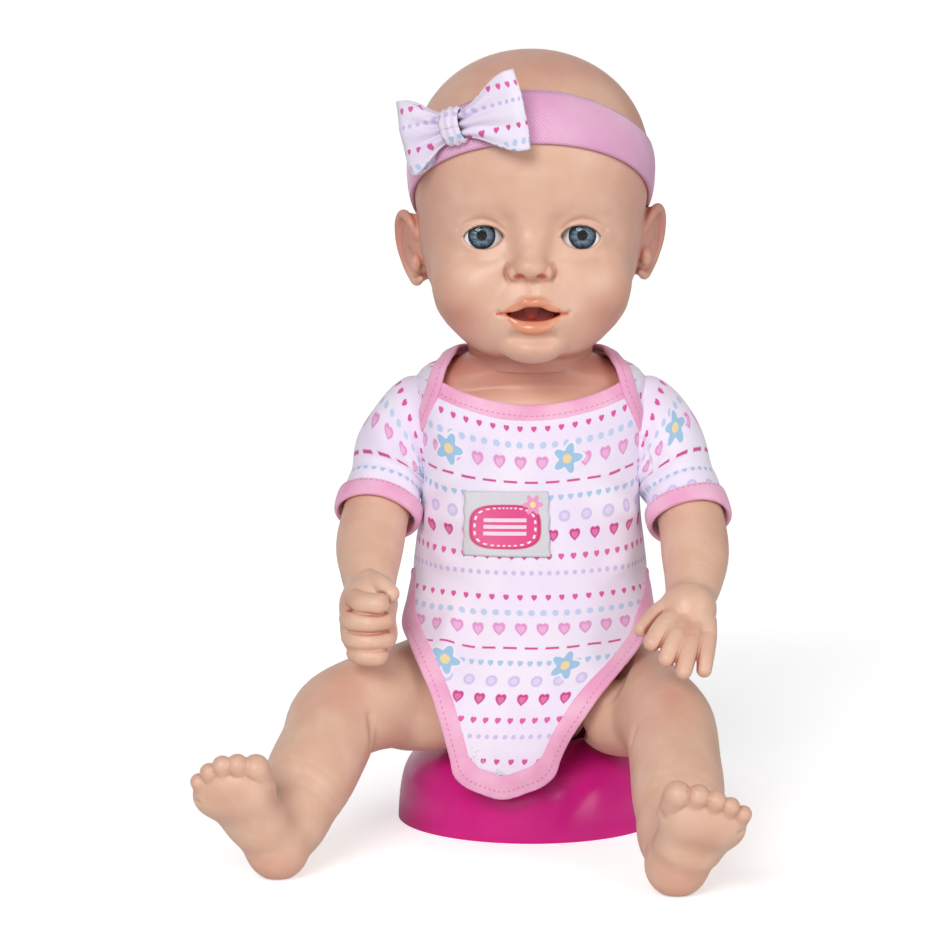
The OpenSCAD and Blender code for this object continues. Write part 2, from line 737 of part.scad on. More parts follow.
// Middle line of each arm from the shoulder: outwards, y, z and thickness share
arm_line_right = [
    [0, 0, 0, 0.97], [4.5, -2, -4, 0.98], [9.5, -5, -10, 0.98], [13.5, -11, -21, 0.98],
    [17, -20, -33, 0.985], [19, -31, -43, 1], [19, -43, -50.5, 0.86],
    [18.5, -54, -57, 0.72], [18.5, -60, -61, 0.73]
];
arm_line_left = [
    [0, 0, 0, 0.97], [4.5, -2, -4, 0.98], [9.5, -5, -10, 0.98], [15, -11, -22, 0.98],
    [19, -20, -35, 0.985], [20, -32, -45.5, 1], [19, -44, -54, 0.86],
    [17, -54, -60.5, 0.72], [15.5, -60, -64, 0.73]
];
function arm_spine(side, line) =
    [for (p = line) [side * (shoulder_x + p[0]), shoulder_y + p[1], shoulder_z + p[2],
                     p[3] * forearm_r]];
right_arm = arm_spine(-1, arm_line_right);
left_arm = arm_spine(1, arm_line_left);

module ball_chain(points) {
    for (i = [0 : len(points) - 2]) hull() {
        translate(place(points[i])) sphere(r = points[i][3], $fn = 8);
        translate(place(points[i + 1])) sphere(r = points[i + 1][3], $fn = 8);
    }
}
// Round limb along a spine: balls up to row first, then a swept tube
module limb(spine, first, sides, steps, grow) {
    for (i = [0 : first - 1]) hull() {
        translate(place(spine[i])) sphere(r = spine[i][3] + grow, $fn = sides);
        translate(place(spine[i + 1])) sphere(r = spine[i + 1][3] + grow, $fn = sides);
    }
    rows = [for (i = [first : len(spine) - 1]) spine[i]];
    skin(tube_rings(rows, sides, steps, grow));
}
module limb_hollow(spine, first) {
    limb([for (i = [0 : len(spine) - 2]) spine[i]], first, 10, 1, -limb_wall);
}
module arm(side, spine, fingers, palm) {
    color(vinyl) difference() {
        union() {
            limb(spine, 2, 16, 2, 0);
            ball_chain(palm);
            for (f = fingers) ball_chain(f);
        }
        on_axis(side, shoulder_x, shoulder_y, shoulder_z, shoulder_tilt) {
            slab(30, -60, seam_gap);
            rod(shoulder_pin_r + fit, -1, limb_wall + 3);
        }
        intersection() {
            limb_hollow(spine, 2);
            on_axis(side, shoulder_x, shoulder_y, shoulder_z, shoulder_tilt)
                slab(far, seam_gap + limb_wall, far);
        }
    }
}
// Right hand: a loose fist, fingers curled one under the other, thumb on top
module arm_right() {
    palm = [[-63, -62, 99, 9.3], [-63, -70, 92, 8.6], [-63, -70, 86, 8]];
    curled = [for (i = [0 : 3])
        let (z = 99 - 6.6 * i, r = finger_r * (1 - 0.06 * i), out = 1.2 * i)
        [[-69 + out / 2, -72, z, r], [-64, -79 + out / 2, z - 0.5, r],
         [-57 - out / 2, -77 + out / 2, z - 0.8, r * 0.95]]];
    thumb = [[-57, -64, 100, finger_r * 1.1], [-53.5, -71, 99.5, finger_r]];
    arm(-1, right_arm, concat(curled, [thumb]), palm);
}
// Left hand: open, fingers hanging forward over the knee
module arm_left() {
    palm = [[60.5, -60, 95, 9], [60, -68, 88, 8], [61, -71, 85, 7.2]];
    fingers = [
        [[53, -62, 94, finger_r * 1.15], [46, -67, 88, finger_r * 1.05],
         [43, -71, 85, finger_r * 0.9]],
        [[54, -70, 87.5, finger_r], [49, -76, 83, finger_r], [46, -80, 79.5, finger_r * 0.9]],
        [[57.5, -73, 86, finger_r], [54, -80, 80, finger_r], [51.5, -84, 75.5, finger_r * 0.9]],
        [[61.5, -74, 85.5, finger_r], [59, -81, 78.5, finger_r],
         [57.5, -85, 73.5, finger_r * 0.9]],
        [[65.5, -73, 85, finger_r * 0.95], [66, -79, 78, finger_r * 0.95],
         [66, -83, 73.5, finger_r * 0.85]]
    ];
    arm(1, left_arm, fingers, palm);
}
// Snap joint of a limb: a spool with one flange inside the body and one inside the limb
module snap_joint(pin_r, inner_r, outer_r) {
    inner = -body_wall - 2.5;
    outer = seam_gap + limb_wall + 0.3;
    rod(inner_r, inner, inner + 2);
    rod(pin_r, inner, outer);
    rod(outer_r, outer, outer + 2);
}
module shoulder_joint(side) {
    color(plastic_white) on_axis(side, shoulder_x, shoulder_y, shoulder_z, shoulder_tilt)
        snap_joint(shoulder_pin_r, shoulder_pin_r + 2.6, shoulder_pin_r + 2);
}
module shoulder_joint_right() shoulder_joint(-1);
module shoulder_joint_left() shoulder_joint(1);

// ---------------------------------------------------------------- legs
thigh_r = thigh_d / 2;
calf_r = calf_d / 2;
// Middle line of each leg from the hip face: outwards, y, z and radius
leg_line_right = [
    [0, 0, 0, 0.98 * thigh_r], [10, -14, -3, thigh_r], [22, -29, -4.5, thigh_r],
    [33, -42, -5, 0.97 * thigh_r], [43, -53, -8.5, 1.04 * calf_r], [47, -65, -16.5, calf_r],
    [53, -78, -27, 0.98 * calf_r], [60, -91, -39.5, 0.8 * calf_r], [64, -101, -48.7, 11]
];
leg_line_left = [
    [0, 0, 0, 0.98 * thigh_r], [6, -16, -4, thigh_r], [13, -34, -7.5, 0.98 * thigh_r],
    [18, -50, -9, 0.94 * thigh_r], [20.5, -64, -11.5, 1.02 * calf_r], [21.5, -79, -20, calf_r],
    [22, -96, -30, calf_r], [21, -112, -40.5, 0.8 * calf_r], [20, -128, -48.6, 11]
];
// Middle line of each foot, heel to toes: x, y, z, half thickness, half width share
foot_line_right = [
    [-97, -110, 10.8, 10, 0.68], [-101.5, -116, 22, 9.5, 0.78], [-106.5, -122, 33, 8, 0.9],
    [-110.5, -127.5, 42, 5.6, 0.96]
];
foot_line_left = [
    [53, -137, 10.8, 10, 0.68], [56, -144, 21, 9.5, 0.78], [60.5, -151, 31, 8, 0.9],
    [64, -156.5, 38.5, 5.6, 0.96]
];
toes_right = [
    [-103.5, -132, 45.5, 4.9], [-110, -134, 47.5, 4], [-115.5, -133.5, 47.8, 3.7],
    [-120.3, -132, 45, 3.4], [-124, -130, 41.5, 3.1]
];
toes_left = [
    [51.5, -160, 42, 4.9], [59.5, -162, 42.5, 4], [65.8, -161.5, 40.3, 3.7],
    [71, -160, 38.3, 3.4], [75.7, -158, 35.5, 3.1]
];
function leg_spine(side, line) =
    [for (p = line) [side * (hip_x + p[0]), hip_y + p[1], hip_z + p[2], p[3]]];

module foot(line, toes, sole) {
    last = line[len(line) - 1];
    skin([for (j = [0 : 4])
        let (f = j * (len(line) - 1) / 4, p = smooth(line, f), q = smooth(line, min(f + 0.1, 3)),
             o = smooth(line, max(f - 0.1, 0)))
        ring(place(p), unit(place(q) - place(o)), p[3], p[4] * foot_w / 2, 16, sole)]);
    for (t = toes) {
        root = place(t) * 0.55 + place(last) * 0.45;
        ball_chain([t, [root[0], root[1], root[2], t[3] * 1.05]]);
    }
    translate(place(line[0])) sphere(r = line[0][3] + 0.6, $fn = 16);
}
module leg(side, spine, line, toes, sole) {
    color(vinyl) difference() {
        union() {
            limb(spine, 1, 16, 2, 0);
            foot(line, toes, sole);
            ball_chain([spine[7], [line[1][0], line[1][1], line[1][2], 9]]);
            ball_chain([[line[2][0], line[2][1], line[2][2], 7.5],
                        [line[3][0], line[3][1], line[3][2], 5.5]]);
        }
        on_axis(side, hip_x, hip_y, hip_z, hip_tilt) {
            slab(40, -60, seam_gap);
            rod(hip_pin_r + fit, -1, limb_wall + 3);
        }
        intersection() {
            limb_hollow(spine, 1);
            on_axis(side, hip_x, hip_y, hip_z, hip_tilt) slab(far, seam_gap + limb_wall, far);
        }
    }
}
module leg_right() leg(-1, leg_spine(-1, leg_line_right), foot_line_right, toes_right,
                       [-0.34, -0.71, -0.61]);
module leg_left() leg(1, leg_spine(1, leg_line_left), foot_line_left, toes_left,
                      [0.05, -0.86, -0.5]);
module hip_joint(side) {
    color(plastic_white) on_axis(side, hip_x, hip_y, hip_z, hip_tilt)
        snap_joint(hip_pin_r, hip_pin_r + 4, hip_pin_r + 3.5);
}
module hip_joint_right() hip_joint(-1);
module hip_joint_left() hip_joint(1);

// ---------------------------------------------------------------- bodysuit
leg_line_z = 86;        // height of the leg openings at the sides
cloth_in = cloth_ease;
cloth_out = cloth_ease + cloth_t;
// The hem dips behind and stays inside the hip faces
function hem_z(a) =
    let (x = (belly_w + cloth_out) * abs(sin(a)))
    max(leg_line_z - 40 * max(0, -cos(a)),
        hip_z + ((x - hip_x) * cos(hip_tilt) + seam_gap) / sin(hip_tilt));
function neckline_z(a) =
    seam_z - 9.5 - 12.5 * pow(max(0, cos(a)), 1.5) - 2 * max(0, -cos(a));
// Azimuth, from the middle of the front or back, at which the armhole cuts height z
function armhole(z, depth) =
    let (r = shoulder_boss_r + 1.2, h = z - shoulder_z)
    abs(h) < r ? acos(sqrt(r * r - h * h) / depth) : 90;
module suit_half(front) {
    rows = 16;
    steps = 12;
    middle = front ? 0 : 180;
    skin([for (i = [0 : steps])
        let (t = 2 * i / steps - 1, low = hem_z(middle + 90 * t),
             rise = neckline_z(middle + 90 * t) - low,
             spots = [for (j = [0 : rows])
                 let (z = low + rise * sin(90 * j / rows),
                      depth = profile(body_rows, body_height(z))[front ? 2 : 3] + cloth_in)
                 [middle + t * armhole(z, depth), z]])
        concat([for (j = [rows : -1 : 0]) body_point(spots[j][0], spots[j][1], cloth_out)],
               [for (p = spots) body_point(p[0], p[1], cloth_in)])], strip = true);
}
module bodysuit_front() color(cloth_white) suit_half(true);
module bodysuit_back() color(cloth_white) suit_half(false);

// Open crotch flap: leaves the belly, runs over the thighs and hangs before the potty
flap_y = -60;
flap_tip = [-8, 22];
belly_y = -belly_front * 0.985 - cloth_out;
flap_top = [belly_y - 0.4, leg_line_z + 3];
flap_over = [flap_y, leg_line_z - 22];
flap_hang = [flap_y - 0.8, leg_line_z - 53];
flap_end = [flap_y + 1.5, flap_tip[1] - 1];
module flap_side() {
    t = cloth_t;
    polygon([flap_top, flap_over, flap_hang, flap_end, flap_end - [t, 0], flap_hang - [t, 0],
             flap_over - [t, -t * 0.6], flap_top - [t, -t * 0.4]]);
}
module flap_outline() {
    polygon([[-47, leg_line_z + 1], [-43.5, 70], [-40, 59], [-35, 44], [-29, 30], [-24, 25.5],
        [-16, 22.5], flap_tip, [0, 22.3], [5, 24.2], [9, 29], [15, 37], [22, 48.5], [28, 59],
        [34, 69], [45.7, leg_line_z + 1], [40, leg_line_z + 5], [-41, leg_line_z + 5]]);
}
module crotch_flap() {
    color(cloth_white) intersection() {
        rotate([90, 0, 90]) translate([0, 0, -60]) linear_extrude(height = 120) flap_side();
        rotate([90, 0, 0]) linear_extrude(height = 90) flap_outline();
    }
}
// Loop half of the crotch's hook-and-loop closure, sewn inside the flap's end
module flap_fastener() {
    along = flap_end - flap_hang;
    off = [seat, 0];
    t = [1.2, 0];
    from = flap_hang + along * 0.15 + off;
    to = flap_hang + along * 0.8 + off;
    color("white") rotate([90, 0, 90]) translate([0, 0, -19]) linear_extrude(height = 20)
        polygon([from, to, to + t, from + t]);
}
module neck_binding() {
    columns = 36;
    color(binding_pink) skin([for (i = [0 : columns - 1])
        let (a = 360 * i / columns, z = neckline_z(a), h = binding_w / 2,
             low = cloth_out + 0.6 + 0.5 * pow(sin(a), 2))
        [body_point(a, z - h, low), body_point(a, z + h, low), body_point(a, z + h, low + 1),
         body_point(a, z - h, low + 1)]], loop = true);
}
// Thin patch that hugs the body between two azimuths and two heights
module cloth_patch(from, to, low, high, off, t) {
    rise = (high - low) / 3;
    skin([for (i = [0 : 6])
        let (a = from + (to - from) * i / 6)
        concat([for (j = [3 : -1 : 0]) body_point(a, low + rise * j, off + t)],
               [for (j = [0 : 3]) body_point(a, low + rise * j, off)])], strip = true);
}
module chest_label() {
    turn = 0.5 * label_w / armpit_w * 180 / PI * 1.06;
    color([0.85, 0.35, 0.55])
        cloth_patch(label_turn - turn, label_turn + turn, label_z - label_h / 2,
                    label_z + label_h / 2, cloth_out + 0.3, 0.6);
}
label_turn = -15;       // azimuth and height of the label's middle
label_z = 123.5;

// Sleeve ring number j of a spine: the first lies in the shoulder's seam plane
sleeve_root_r = 17.2;
sleeve_sides = 18;
function shoulder_axis(side) =
    [side * cos(shoulder_tilt), 0, -sin(shoulder_tilt)];
function sleeve_rings(side, spine, off) =
    let (a = shoulder_axis(side),
         root = [side * shoulder_x, shoulder_y, shoulder_z] + a * (seam_gap + 0.2),
         mid = [side * (shoulder_x + 7.2), shoulder_y - 3.5, shoulder_z - 8])
    [ring(root, [a[0], 0, a[2]], sleeve_root_r + off, sleeve_root_r + off, sleeve_sides, [0, -1, 0]),
     ring(mid, unit([side * 0.78, -0.22, -0.58]), 16.4 + off, 16.4 + off, sleeve_sides, [0, -1, 0]),
     for (f = [2.6, 3, 3.45]) sleeve_ring(side, spine, f, sleeve_r - 1, off)];
// Ring of radius r + off whose top rests on the arm at position f of its spine
function sleeve_ring(side, spine, f, r, off) =
    let (p = smooth(spine, f), t = unit(place(smooth(spine, f + 0.1)) - place(smooth(spine, f - 0.1))),
         up = unit([0, 0, 1] - t[2] * t), drop = r - cloth_t - p[3] - 2 * seat)
    ring(place(p) - up * drop, t, r + off, r + off, sleeve_sides, [0, -1, 0]);
function reverse(v) = [for (i = [len(v) - 1 : -1 : 0]) v[i]];
module sleeve(side, spine) {
    color(cloth_white) skin(concat(sleeve_rings(side, spine, 0),
        reverse(sleeve_rings(side, spine, -cloth_t))), loop = true);
}
module sleeve_right() sleeve(-1, right_arm);
module sleeve_left() sleeve(1, left_arm);
module cuff(side, spine) {
    out = [for (f = [3.47, 3.7, 3.98]) sleeve_ring(side, spine, f, sleeve_r - 1, 1)];
    inner = [for (f = [3.98, 3.7, 3.47]) sleeve_ring(side, spine, f, sleeve_r - 1, -cloth_t)];
    color(binding_pink) skin(concat(out, inner), loop = true);
}
module cuff_right() cuff(-1, right_arm);
module cuff_left() cuff(1, left_arm);

// ---------------------------------------------------------------- potty
potty_lean = 5.5;       // how far the outer wall leans in
potty_shoulder = 9;     // radius of the rounded shoulder
bowl_floor = 8;
bowl_corner = 8;
potty_rib = 1.8;        // thickness of the ribs underneath
module potty_outline(shrink) {
    z = potty_h - potty_shoulder;
    r = potty_r - potty_lean - potty_shoulder;
    polygon([[0, -shrink], [potty_r - shrink, -shrink], [potty_r - potty_lean - shrink, z],
        [r, potty_h - shrink], [0, potty_h - shrink]]);
    translate([r, z]) circle(r = potty_shoulder - shrink, $fn = 64);
}
module bowl_outline(grow) {
    r = bowl_r + grow;
    z = bowl_floor - grow;
    c = bowl_corner + grow;
    translate([0, z]) square([r - c, potty_h]);
    translate([0, z + c]) square([r, potty_h]);
    translate([r - c, z + c]) circle(r = c, $fn = 64);
}
// One moulding, open underneath, with crossed ribs that carry the bowl
module potty() {
    color(potty_pink) {
        rotate_extrude() intersection() {
            difference() {
                potty_outline(0);
                difference() {
                    potty_outline(potty_wall);
                    bowl_outline(potty_wall);
                }
                bowl_outline(0);
            }
            square([far, far]);
        }
        intersection() {
            for (turn = [0, 90]) rotate(turn)
                translate([-far, -potty_rib / 2, 0]) cube([2 * far, potty_rib, far]);
            rotate_extrude() difference() {
                potty_outline(potty_wall / 2);
                bowl_outline(potty_wall / 2);
            }
        }
    }
}

head_shell();
eyeball_right();
eyeball_left();
iris_right();
iris_left();
cornea_right();
cornea_left();
mouth_funnel();
throat_tube();
head_band();
bow_wings();
bow_knot();
torso_front();
torso_rear();
neck_post();
casing_screws();
water_tank();
drain_tube();
button_spring();
circuit_board();
speaker();
battery_box();
battery_cells();
battery_door();
door_screw();
tummy_button();
power_switch();
arm_right();
arm_left();
shoulder_joint_right();
shoulder_joint_left();
leg_right();
leg_left();
hip_joint_right();
hip_joint_left();
bodysuit_front();
bodysuit_back();
crotch_flap();
flap_fastener();
neck_binding();
chest_label();
sleeve_right();
sleeve_left();
cuff_right();
cuff_left();
potty();
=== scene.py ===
import functools
import math

import bmesh
import bpy
import numpy as np
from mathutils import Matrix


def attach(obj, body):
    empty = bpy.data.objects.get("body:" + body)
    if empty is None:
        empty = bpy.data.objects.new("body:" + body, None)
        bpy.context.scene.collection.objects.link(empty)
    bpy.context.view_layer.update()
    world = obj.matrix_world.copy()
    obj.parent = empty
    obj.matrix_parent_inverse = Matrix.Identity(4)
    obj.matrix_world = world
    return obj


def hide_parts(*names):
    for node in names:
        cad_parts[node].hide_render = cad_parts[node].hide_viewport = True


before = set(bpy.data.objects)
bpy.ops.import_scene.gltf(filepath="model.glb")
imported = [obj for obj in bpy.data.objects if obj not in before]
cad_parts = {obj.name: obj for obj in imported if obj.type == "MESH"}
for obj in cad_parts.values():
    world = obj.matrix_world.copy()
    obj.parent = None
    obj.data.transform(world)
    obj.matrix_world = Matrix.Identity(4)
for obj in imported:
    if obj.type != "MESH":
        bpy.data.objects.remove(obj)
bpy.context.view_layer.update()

import openvdb
from mathutils import Euler, Matrix, Vector
from mathutils.kdtree import KDTree

MM = 0.001
scene = bpy.context.scene

# ---------------------------------------------------------------- camera
VIEW_DOWN = math.radians(8)  # the camera looks down by this much
VIEW_AT = Vector((-0.0231, 0, 0.1397))  # middle of the picture, in metres
VIEW_FROM = 1.7  # metres from there
VIEW_LENS, VIEW_SENSOR = 161.9, 36  # in mm


def make_camera():
    lens = bpy.data.cameras.new("camera")
    lens.lens, lens.sensor_width = VIEW_LENS, VIEW_SENSOR
    camera = bpy.data.objects.new("camera", lens)
    back = Vector((0, -math.cos(VIEW_DOWN), math.sin(VIEW_DOWN)))
    camera.location = VIEW_AT + back * VIEW_FROM
    camera.rotation_euler = (math.pi / 2 - VIEW_DOWN, 0, 0)
    scene.collection.objects.link(camera)
    scene.camera = camera


# ---------------------------------------------------------------- sizes, in millimetres
SEAM_Z = 187.5  # neck seam
HEAD_H = 121
SKULL = (47, 51, 56)  # half width, depth in front, depth behind
CROWN = 0.616  # share of the head's height where the skull is widest
EYE = (19.5, -31.4, 238)  # centre of the left eyeball
EYE_R = 10.2
MOUTH_X = 0.4  # middle of the mouth
BODY_LOW, BODY_HIGH = 30, 187
FLOOR_GAP = 0.4  # lowest point of the legs
NECK_R = 24
NECK_LOW, NECK_TOP = 182.5, 196  # the head's neck covers the seam, and ends inside the skull
SHOULDER = (44.5, 0, 158)
SHOULDER_TILT = math.radians(6)
HIP = (33, -8, 60)
HIP_TILT = math.radians(30)
FOREARM_R = 13.3
CLOTH_OUT = 2.0  # from the skin to the cloth's outer face
STEP = 0.6  # pitch of the skin's fields
SIDES = {-1: "right", 1: "left"}  # the doll's own, by the sign of x


# ---------------------------------------------------------------- curves
def smooth_row(rows, f):
    """Catmull-Rom value of rows at place f, from 0 to len(rows) - 1; f may be an array."""
    rows = np.asarray(rows, float)
    f = np.clip(np.asarray(f, float), 0, len(rows) - 1)
    i = np.minimum(f.astype(int), len(rows) - 2)
    t = (f - i)[..., None]
    a, b = rows[np.maximum(i - 1, 0)], rows[i]
    c, d = rows[i + 1], rows[np.minimum(i + 2, len(rows) - 1)]
    return 0.5 * (
        2 * b + (c - a) * t + (2 * a - 5 * b + 4 * c - d) * t**2 + (3 * b - a - 3 * c + d) * t**3
    )


def profile(rows, value):
    """The other columns of rows, sorted by their first column, where that column is value."""
    first = [row[0] for row in rows]
    f = np.interp(value, first, range(len(rows)))
    return smooth_row([row[1:] for row in rows], f)


def curve(points, steps=6):
    """A smooth run of points through the given ones."""
    return smooth_row(points, np.linspace(0, len(points) - 1, (len(points) - 1) * steps + 1))


def unit(v):
    v = np.asarray(v, float)
    return v / np.maximum(np.linalg.norm(v, axis=-1, keepdims=True), 1e-9)


def bent(value, power):
    """A power that keeps the value's sign."""
    return np.sign(value) * np.abs(value) ** power


def circle(count):
    """Even turns round a circle, in radians."""
    return 2 * math.pi * np.arange(count) / count


def run_along(line):
    """How far along a line each of its points lies."""
    return np.concatenate([[0], np.cumsum(np.linalg.norm(np.diff(line, axis=0), axis=1))])


def mirror(side, points):
    """Points given for the left side, on the side asked for."""
    return [(side * point[0], *point[1:]) for point in points]


def smooth_step(value, low, high):
    t = np.clip((value - low) / (high - low), 0, 1)
    return t * t * (3 - 2 * t)


# ---------------------------------------------------------------- distance fields
def smooth_min(a, b, soft):
    h = np.clip(0.5 + 0.5 * (b - a) / soft, 0, 1)
    return b * (1 - h) + a * h - soft * h * (1 - h)


def oval(at, radii, axes):
    """An ellipsoid along given axes, as (field, low corner, high corner)."""
    axes = unit(axes)

    def field(x, y, z):
        d = (x - at[0], y - at[1], z - at[2])
        local = [sum(axis[k] * d[k] for k in range(3)) for axis in axes]
        near = np.sqrt(sum((v / r) ** 2 for v, r in zip(local, radii)))
        slope = np.sqrt(sum((v / r**2) ** 2 for v, r in zip(local, radii))) + 1e-6
        return near * (near - 1) / slope

    return field, np.subtract(at, max(radii)), np.add(at, max(radii))


def egg(at, radii, turn=(0, 0, 0)):
    """An ellipsoid turned by Euler angles in degrees, as (field, low corner, high corner)."""
    return oval(at, radii, np.array(Euler([math.radians(t) for t in turn]).to_matrix()).T)


def stretches(points, x, y, z):
    """For each stretch of a chain: both ends, the share of it that lies before each place, and
    the way to that place from the nearest spot on it."""
    for p, q in zip(points, points[1:]):
        way = q[:3] - p[:3]
        d = (x - p[0], y - p[1], z - p[2])
        t = np.clip(sum(w * v for w, v in zip(way, d)) / max(way @ way, 1e-6), 0, 1)
        yield p, q, t, [v - w * t for w, v in zip(way, d)]


def nearest(fars):
    return functools.reduce(np.minimum, fars)


def boxed(field, rows):
    """The field of a chain with the corners of the box round it."""
    reach = rows[:, 3:].max(1, keepdims=True)
    return field, (rows[:, :3] - reach).min(0), (rows[:, :3] + reach).max(0)


def rope(points):
    """Round chain through points of x, y, z and radius, as (field, low corner, high corner)."""
    points = np.asarray(points, float)

    def field(x, y, z):
        return nearest(np.sqrt(sum(v**2 for v in rest)) - (p[3] + (q[3] - p[3]) * t)
                       for p, q, t, rest in stretches(points, x, y, z))

    return boxed(field, points)


FAR = 30  # value of a field away from every shape


class Field:
    """A distance field on a grid. Shapes are blended into the part of it that they reach."""

    def __init__(self, low, high, step=STEP):
        self.step = step
        self.axes = [np.arange(a, b + step, step, dtype=np.float32) for a, b in zip(low, high)]
        self.value = np.full([len(a) for a in self.axes], FAR, np.float32)

    def window(self, low, high):
        cut = tuple(
            slice(int(np.searchsorted(axis, a)), int(np.searchsorted(axis, b)))
            for axis, a, b in zip(self.axes, low, high)
        )
        x, y, z = (axis[c] for axis, c in zip(self.axes, cut))
        return cut, x[:, None, None], y[None, :, None], z[None, None, :]

    def all(self):
        x, y, z = self.axes
        return x[:, None, None], y[None, :, None], z[None, None, :]

    def join(self, shape, soft=0.8, sign=1):
        """Blends a shape in, or cuts it out where sign is -1."""
        field, low, high = shape
        margin = soft + 2 * self.step
        cut, x, y, z = self.window(low - margin, high + margin)
        self.value[cut] = sign * smooth_min(sign * self.value[cut], field(x, y, z), soft)

    def carve(self, shape, soft=0.8):
        self.join(shape, soft, -1)

    def press(self, line, depth, width, flat=False):
        """Sinks the surface near a line by depth, or raises it where depth is below 0. A flat
        press counts only x and z, and so goes straight in from the front."""
        line = np.asarray(line, float)
        reach = 2.6 * width
        low, high = line.min(0) - reach, line.max(0) + reach
        if flat:
            low[1], high[1] = low[1] - 8, high[1] + 8
        cut, x, y, z = self.window(low, high)
        if flat:
            line, y = line * (1, 0, 1), 0 * y
        far = nearest(sum(v**2 for v in rest) for _, _, _, rest in stretches(line, x, y, z))
        self.value[cut] += depth * np.exp(-far / width**2)

    def sample(self, points):
        """Value at points, between the grid's own."""
        spot = [
            np.clip((points[:, k] - axis[0]) / self.step, 0, len(axis) - 1.001)
            for k, axis in enumerate(self.axes)
        ]
        low = [s.astype(int) for s in spot]
        part = [s - i for s, i in zip(spot, low)]
        total = 0
        for corner in np.ndindex(2, 2, 2):
            weight = 1
            for k in range(3):
                weight = weight * (part[k] if corner[k] else 1 - part[k])
            total = total + weight * self.value[tuple(i + c for i, c in zip(low, corner))]
        return total

    def slope(self, points):
        """Unit outward direction at points."""
        out = [
            self.sample(points + np.eye(3)[k] * self.step)
            - self.sample(points - np.eye(3)[k] * self.step)
            for k in range(3)
        ]
        return unit(np.stack(out, 1))

    def mesh(self, name):
        grid = openvdb.FloatGrid(background=float(FAR))
        grid.copyFromArray(np.clip(self.value, -FAR, FAR))
        points, quads = grid.convertToQuads(isovalue=0)
        points = points * self.step + np.array([a[0] for a in self.axes])
        obj = new_mesh(name, points, quads[:, ::-1])
        self.paint_crease_shade(obj, points)
        return obj

    def paint_crease_shade(self, obj, points):
        """Stores how hollow the surface is at each point, 0 on open skin and 1 in a crease, as the mask of
        the skin's painted crease shade.
        """
        reach = 2.2
        lifted = self.sample(points + self.slope(points) * reach)
        hollow = np.clip((reach - lifted) / reach, 0, 1)
        store(obj, "crease", hollow)


# ---------------------------------------------------------------- meshes
def read(obj, name):
    values = np.empty(len(obj.data.vertices), np.float32)
    obj.data.attributes[name].data.foreach_get("value", values)
    return values


def new_mesh(name, points, faces):
    """A smooth-shaded object from points in millimetres."""
    mesh = bpy.data.meshes.new(name)
    mesh.from_pydata((np.asarray(points, float) * MM).tolist(), [], [list(map(int, f)) for f in faces])
    mesh.validate()
    mesh.shade_smooth()
    obj = bpy.data.objects.new(name, mesh)
    scene.collection.objects.link(obj)
    return obj


def store(obj, name, values):
    """Keeps one number, or one vector, for each point of the mesh."""
    values = np.asarray(values, np.float32)
    kind = "FLOAT" if values.ndim == 1 else "FLOAT_VECTOR"
    layer = obj.data.attributes.get(name) or obj.data.attributes.new(name, kind, "POINT")
    layer.data.foreach_set("value" if values.ndim == 1 else "vector", values.ravel())


def grid_faces(rows, columns, loop=False):
    """Quads between rows of points, whose last column meets the first where loop is set."""
    faces = []
    for j in range(rows - 1):
        for i in range(columns if loop else columns - 1):
            k = (i + 1) % columns
            faces.append([j * columns + i, j * columns + k, (j + 1) * columns + k, (j + 1) * columns + i])
    return faces


def tube_faces(count, corners, loop):
    """Quads round a run of sections, closed end to end where loop is set, else with flat ends."""
    faces = grid_faces(count, corners, True)
    last = (count - 1) * corners
    if loop:
        return faces + [[last + i, last + (i + 1) % corners, (i + 1) % corners, i] for i in range(corners)]
    return faces + [list(range(corners))[::-1], list(range(last, last + corners))]


def panel(name, points, u, v, loop=False, faces=None):
    """A sheet through rows of points, which lie at u and v in the cloth's print."""
    points = np.asarray(points)
    u, v = np.broadcast_to(u, points.shape[:2]), np.broadcast_to(v, points.shape[:2])
    obj = new_mesh(name, points.reshape(-1, 3), faces or grid_faces(*u.shape, loop))
    store(obj, "print", np.stack([u, v, 0 * u], -1).reshape(-1, 3))
    return obj


def solidify(obj, thick, offset=-1.0):
    layer = obj.modifiers.new("thickness", "SOLIDIFY")
    layer.thickness = thick * MM
    layer.offset = offset


def subdivide(obj):
    layer = obj.modifiers.new("smooth", "SUBSURF")
    layer.levels = layer.render_levels = 1


def finish_piece(obj, body, material, slot, *nodes):
    obj.data.materials.clear()
    obj.data.materials.append(material)
    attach(obj, body)
    if nodes:
        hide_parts(*nodes)


# ---------------------------------------------------------------- materials
def rgb(red, green, blue):
    """Linear colour of a screen colour given from 0 to 255."""
    return tuple(((v / 255 + 0.055) / 1.055) ** 2.4 if v > 10 else v / 3300
                 for v in (red, green, blue)) + (1,)


class Wire:
    """A number flowing through a node tree. Sums with it add the nodes for them."""

    def __init__(self, paint, socket):
        self.paint, self.socket = paint, socket

    def __add__(self, other):
        return self.paint.math("ADD", self, other)

    def __sub__(self, other):
        return self.paint.math("SUBTRACT", self, other)

    def __mul__(self, other):
        return self.paint.math("MULTIPLY", self, other)

    def __truediv__(self, other):
        return self.paint.math("DIVIDE", self, other)

    def __pow__(self, other):
        return self.paint.math("POWER", self, other)

    def __abs__(self):
        return self.paint.math("ABSOLUTE", self)

    def sine(self):
        return self.paint.math("SINE", self)

    def scaled(self, factor, more):
        return self.paint.math("MULTIPLY_ADD", self, factor, more)


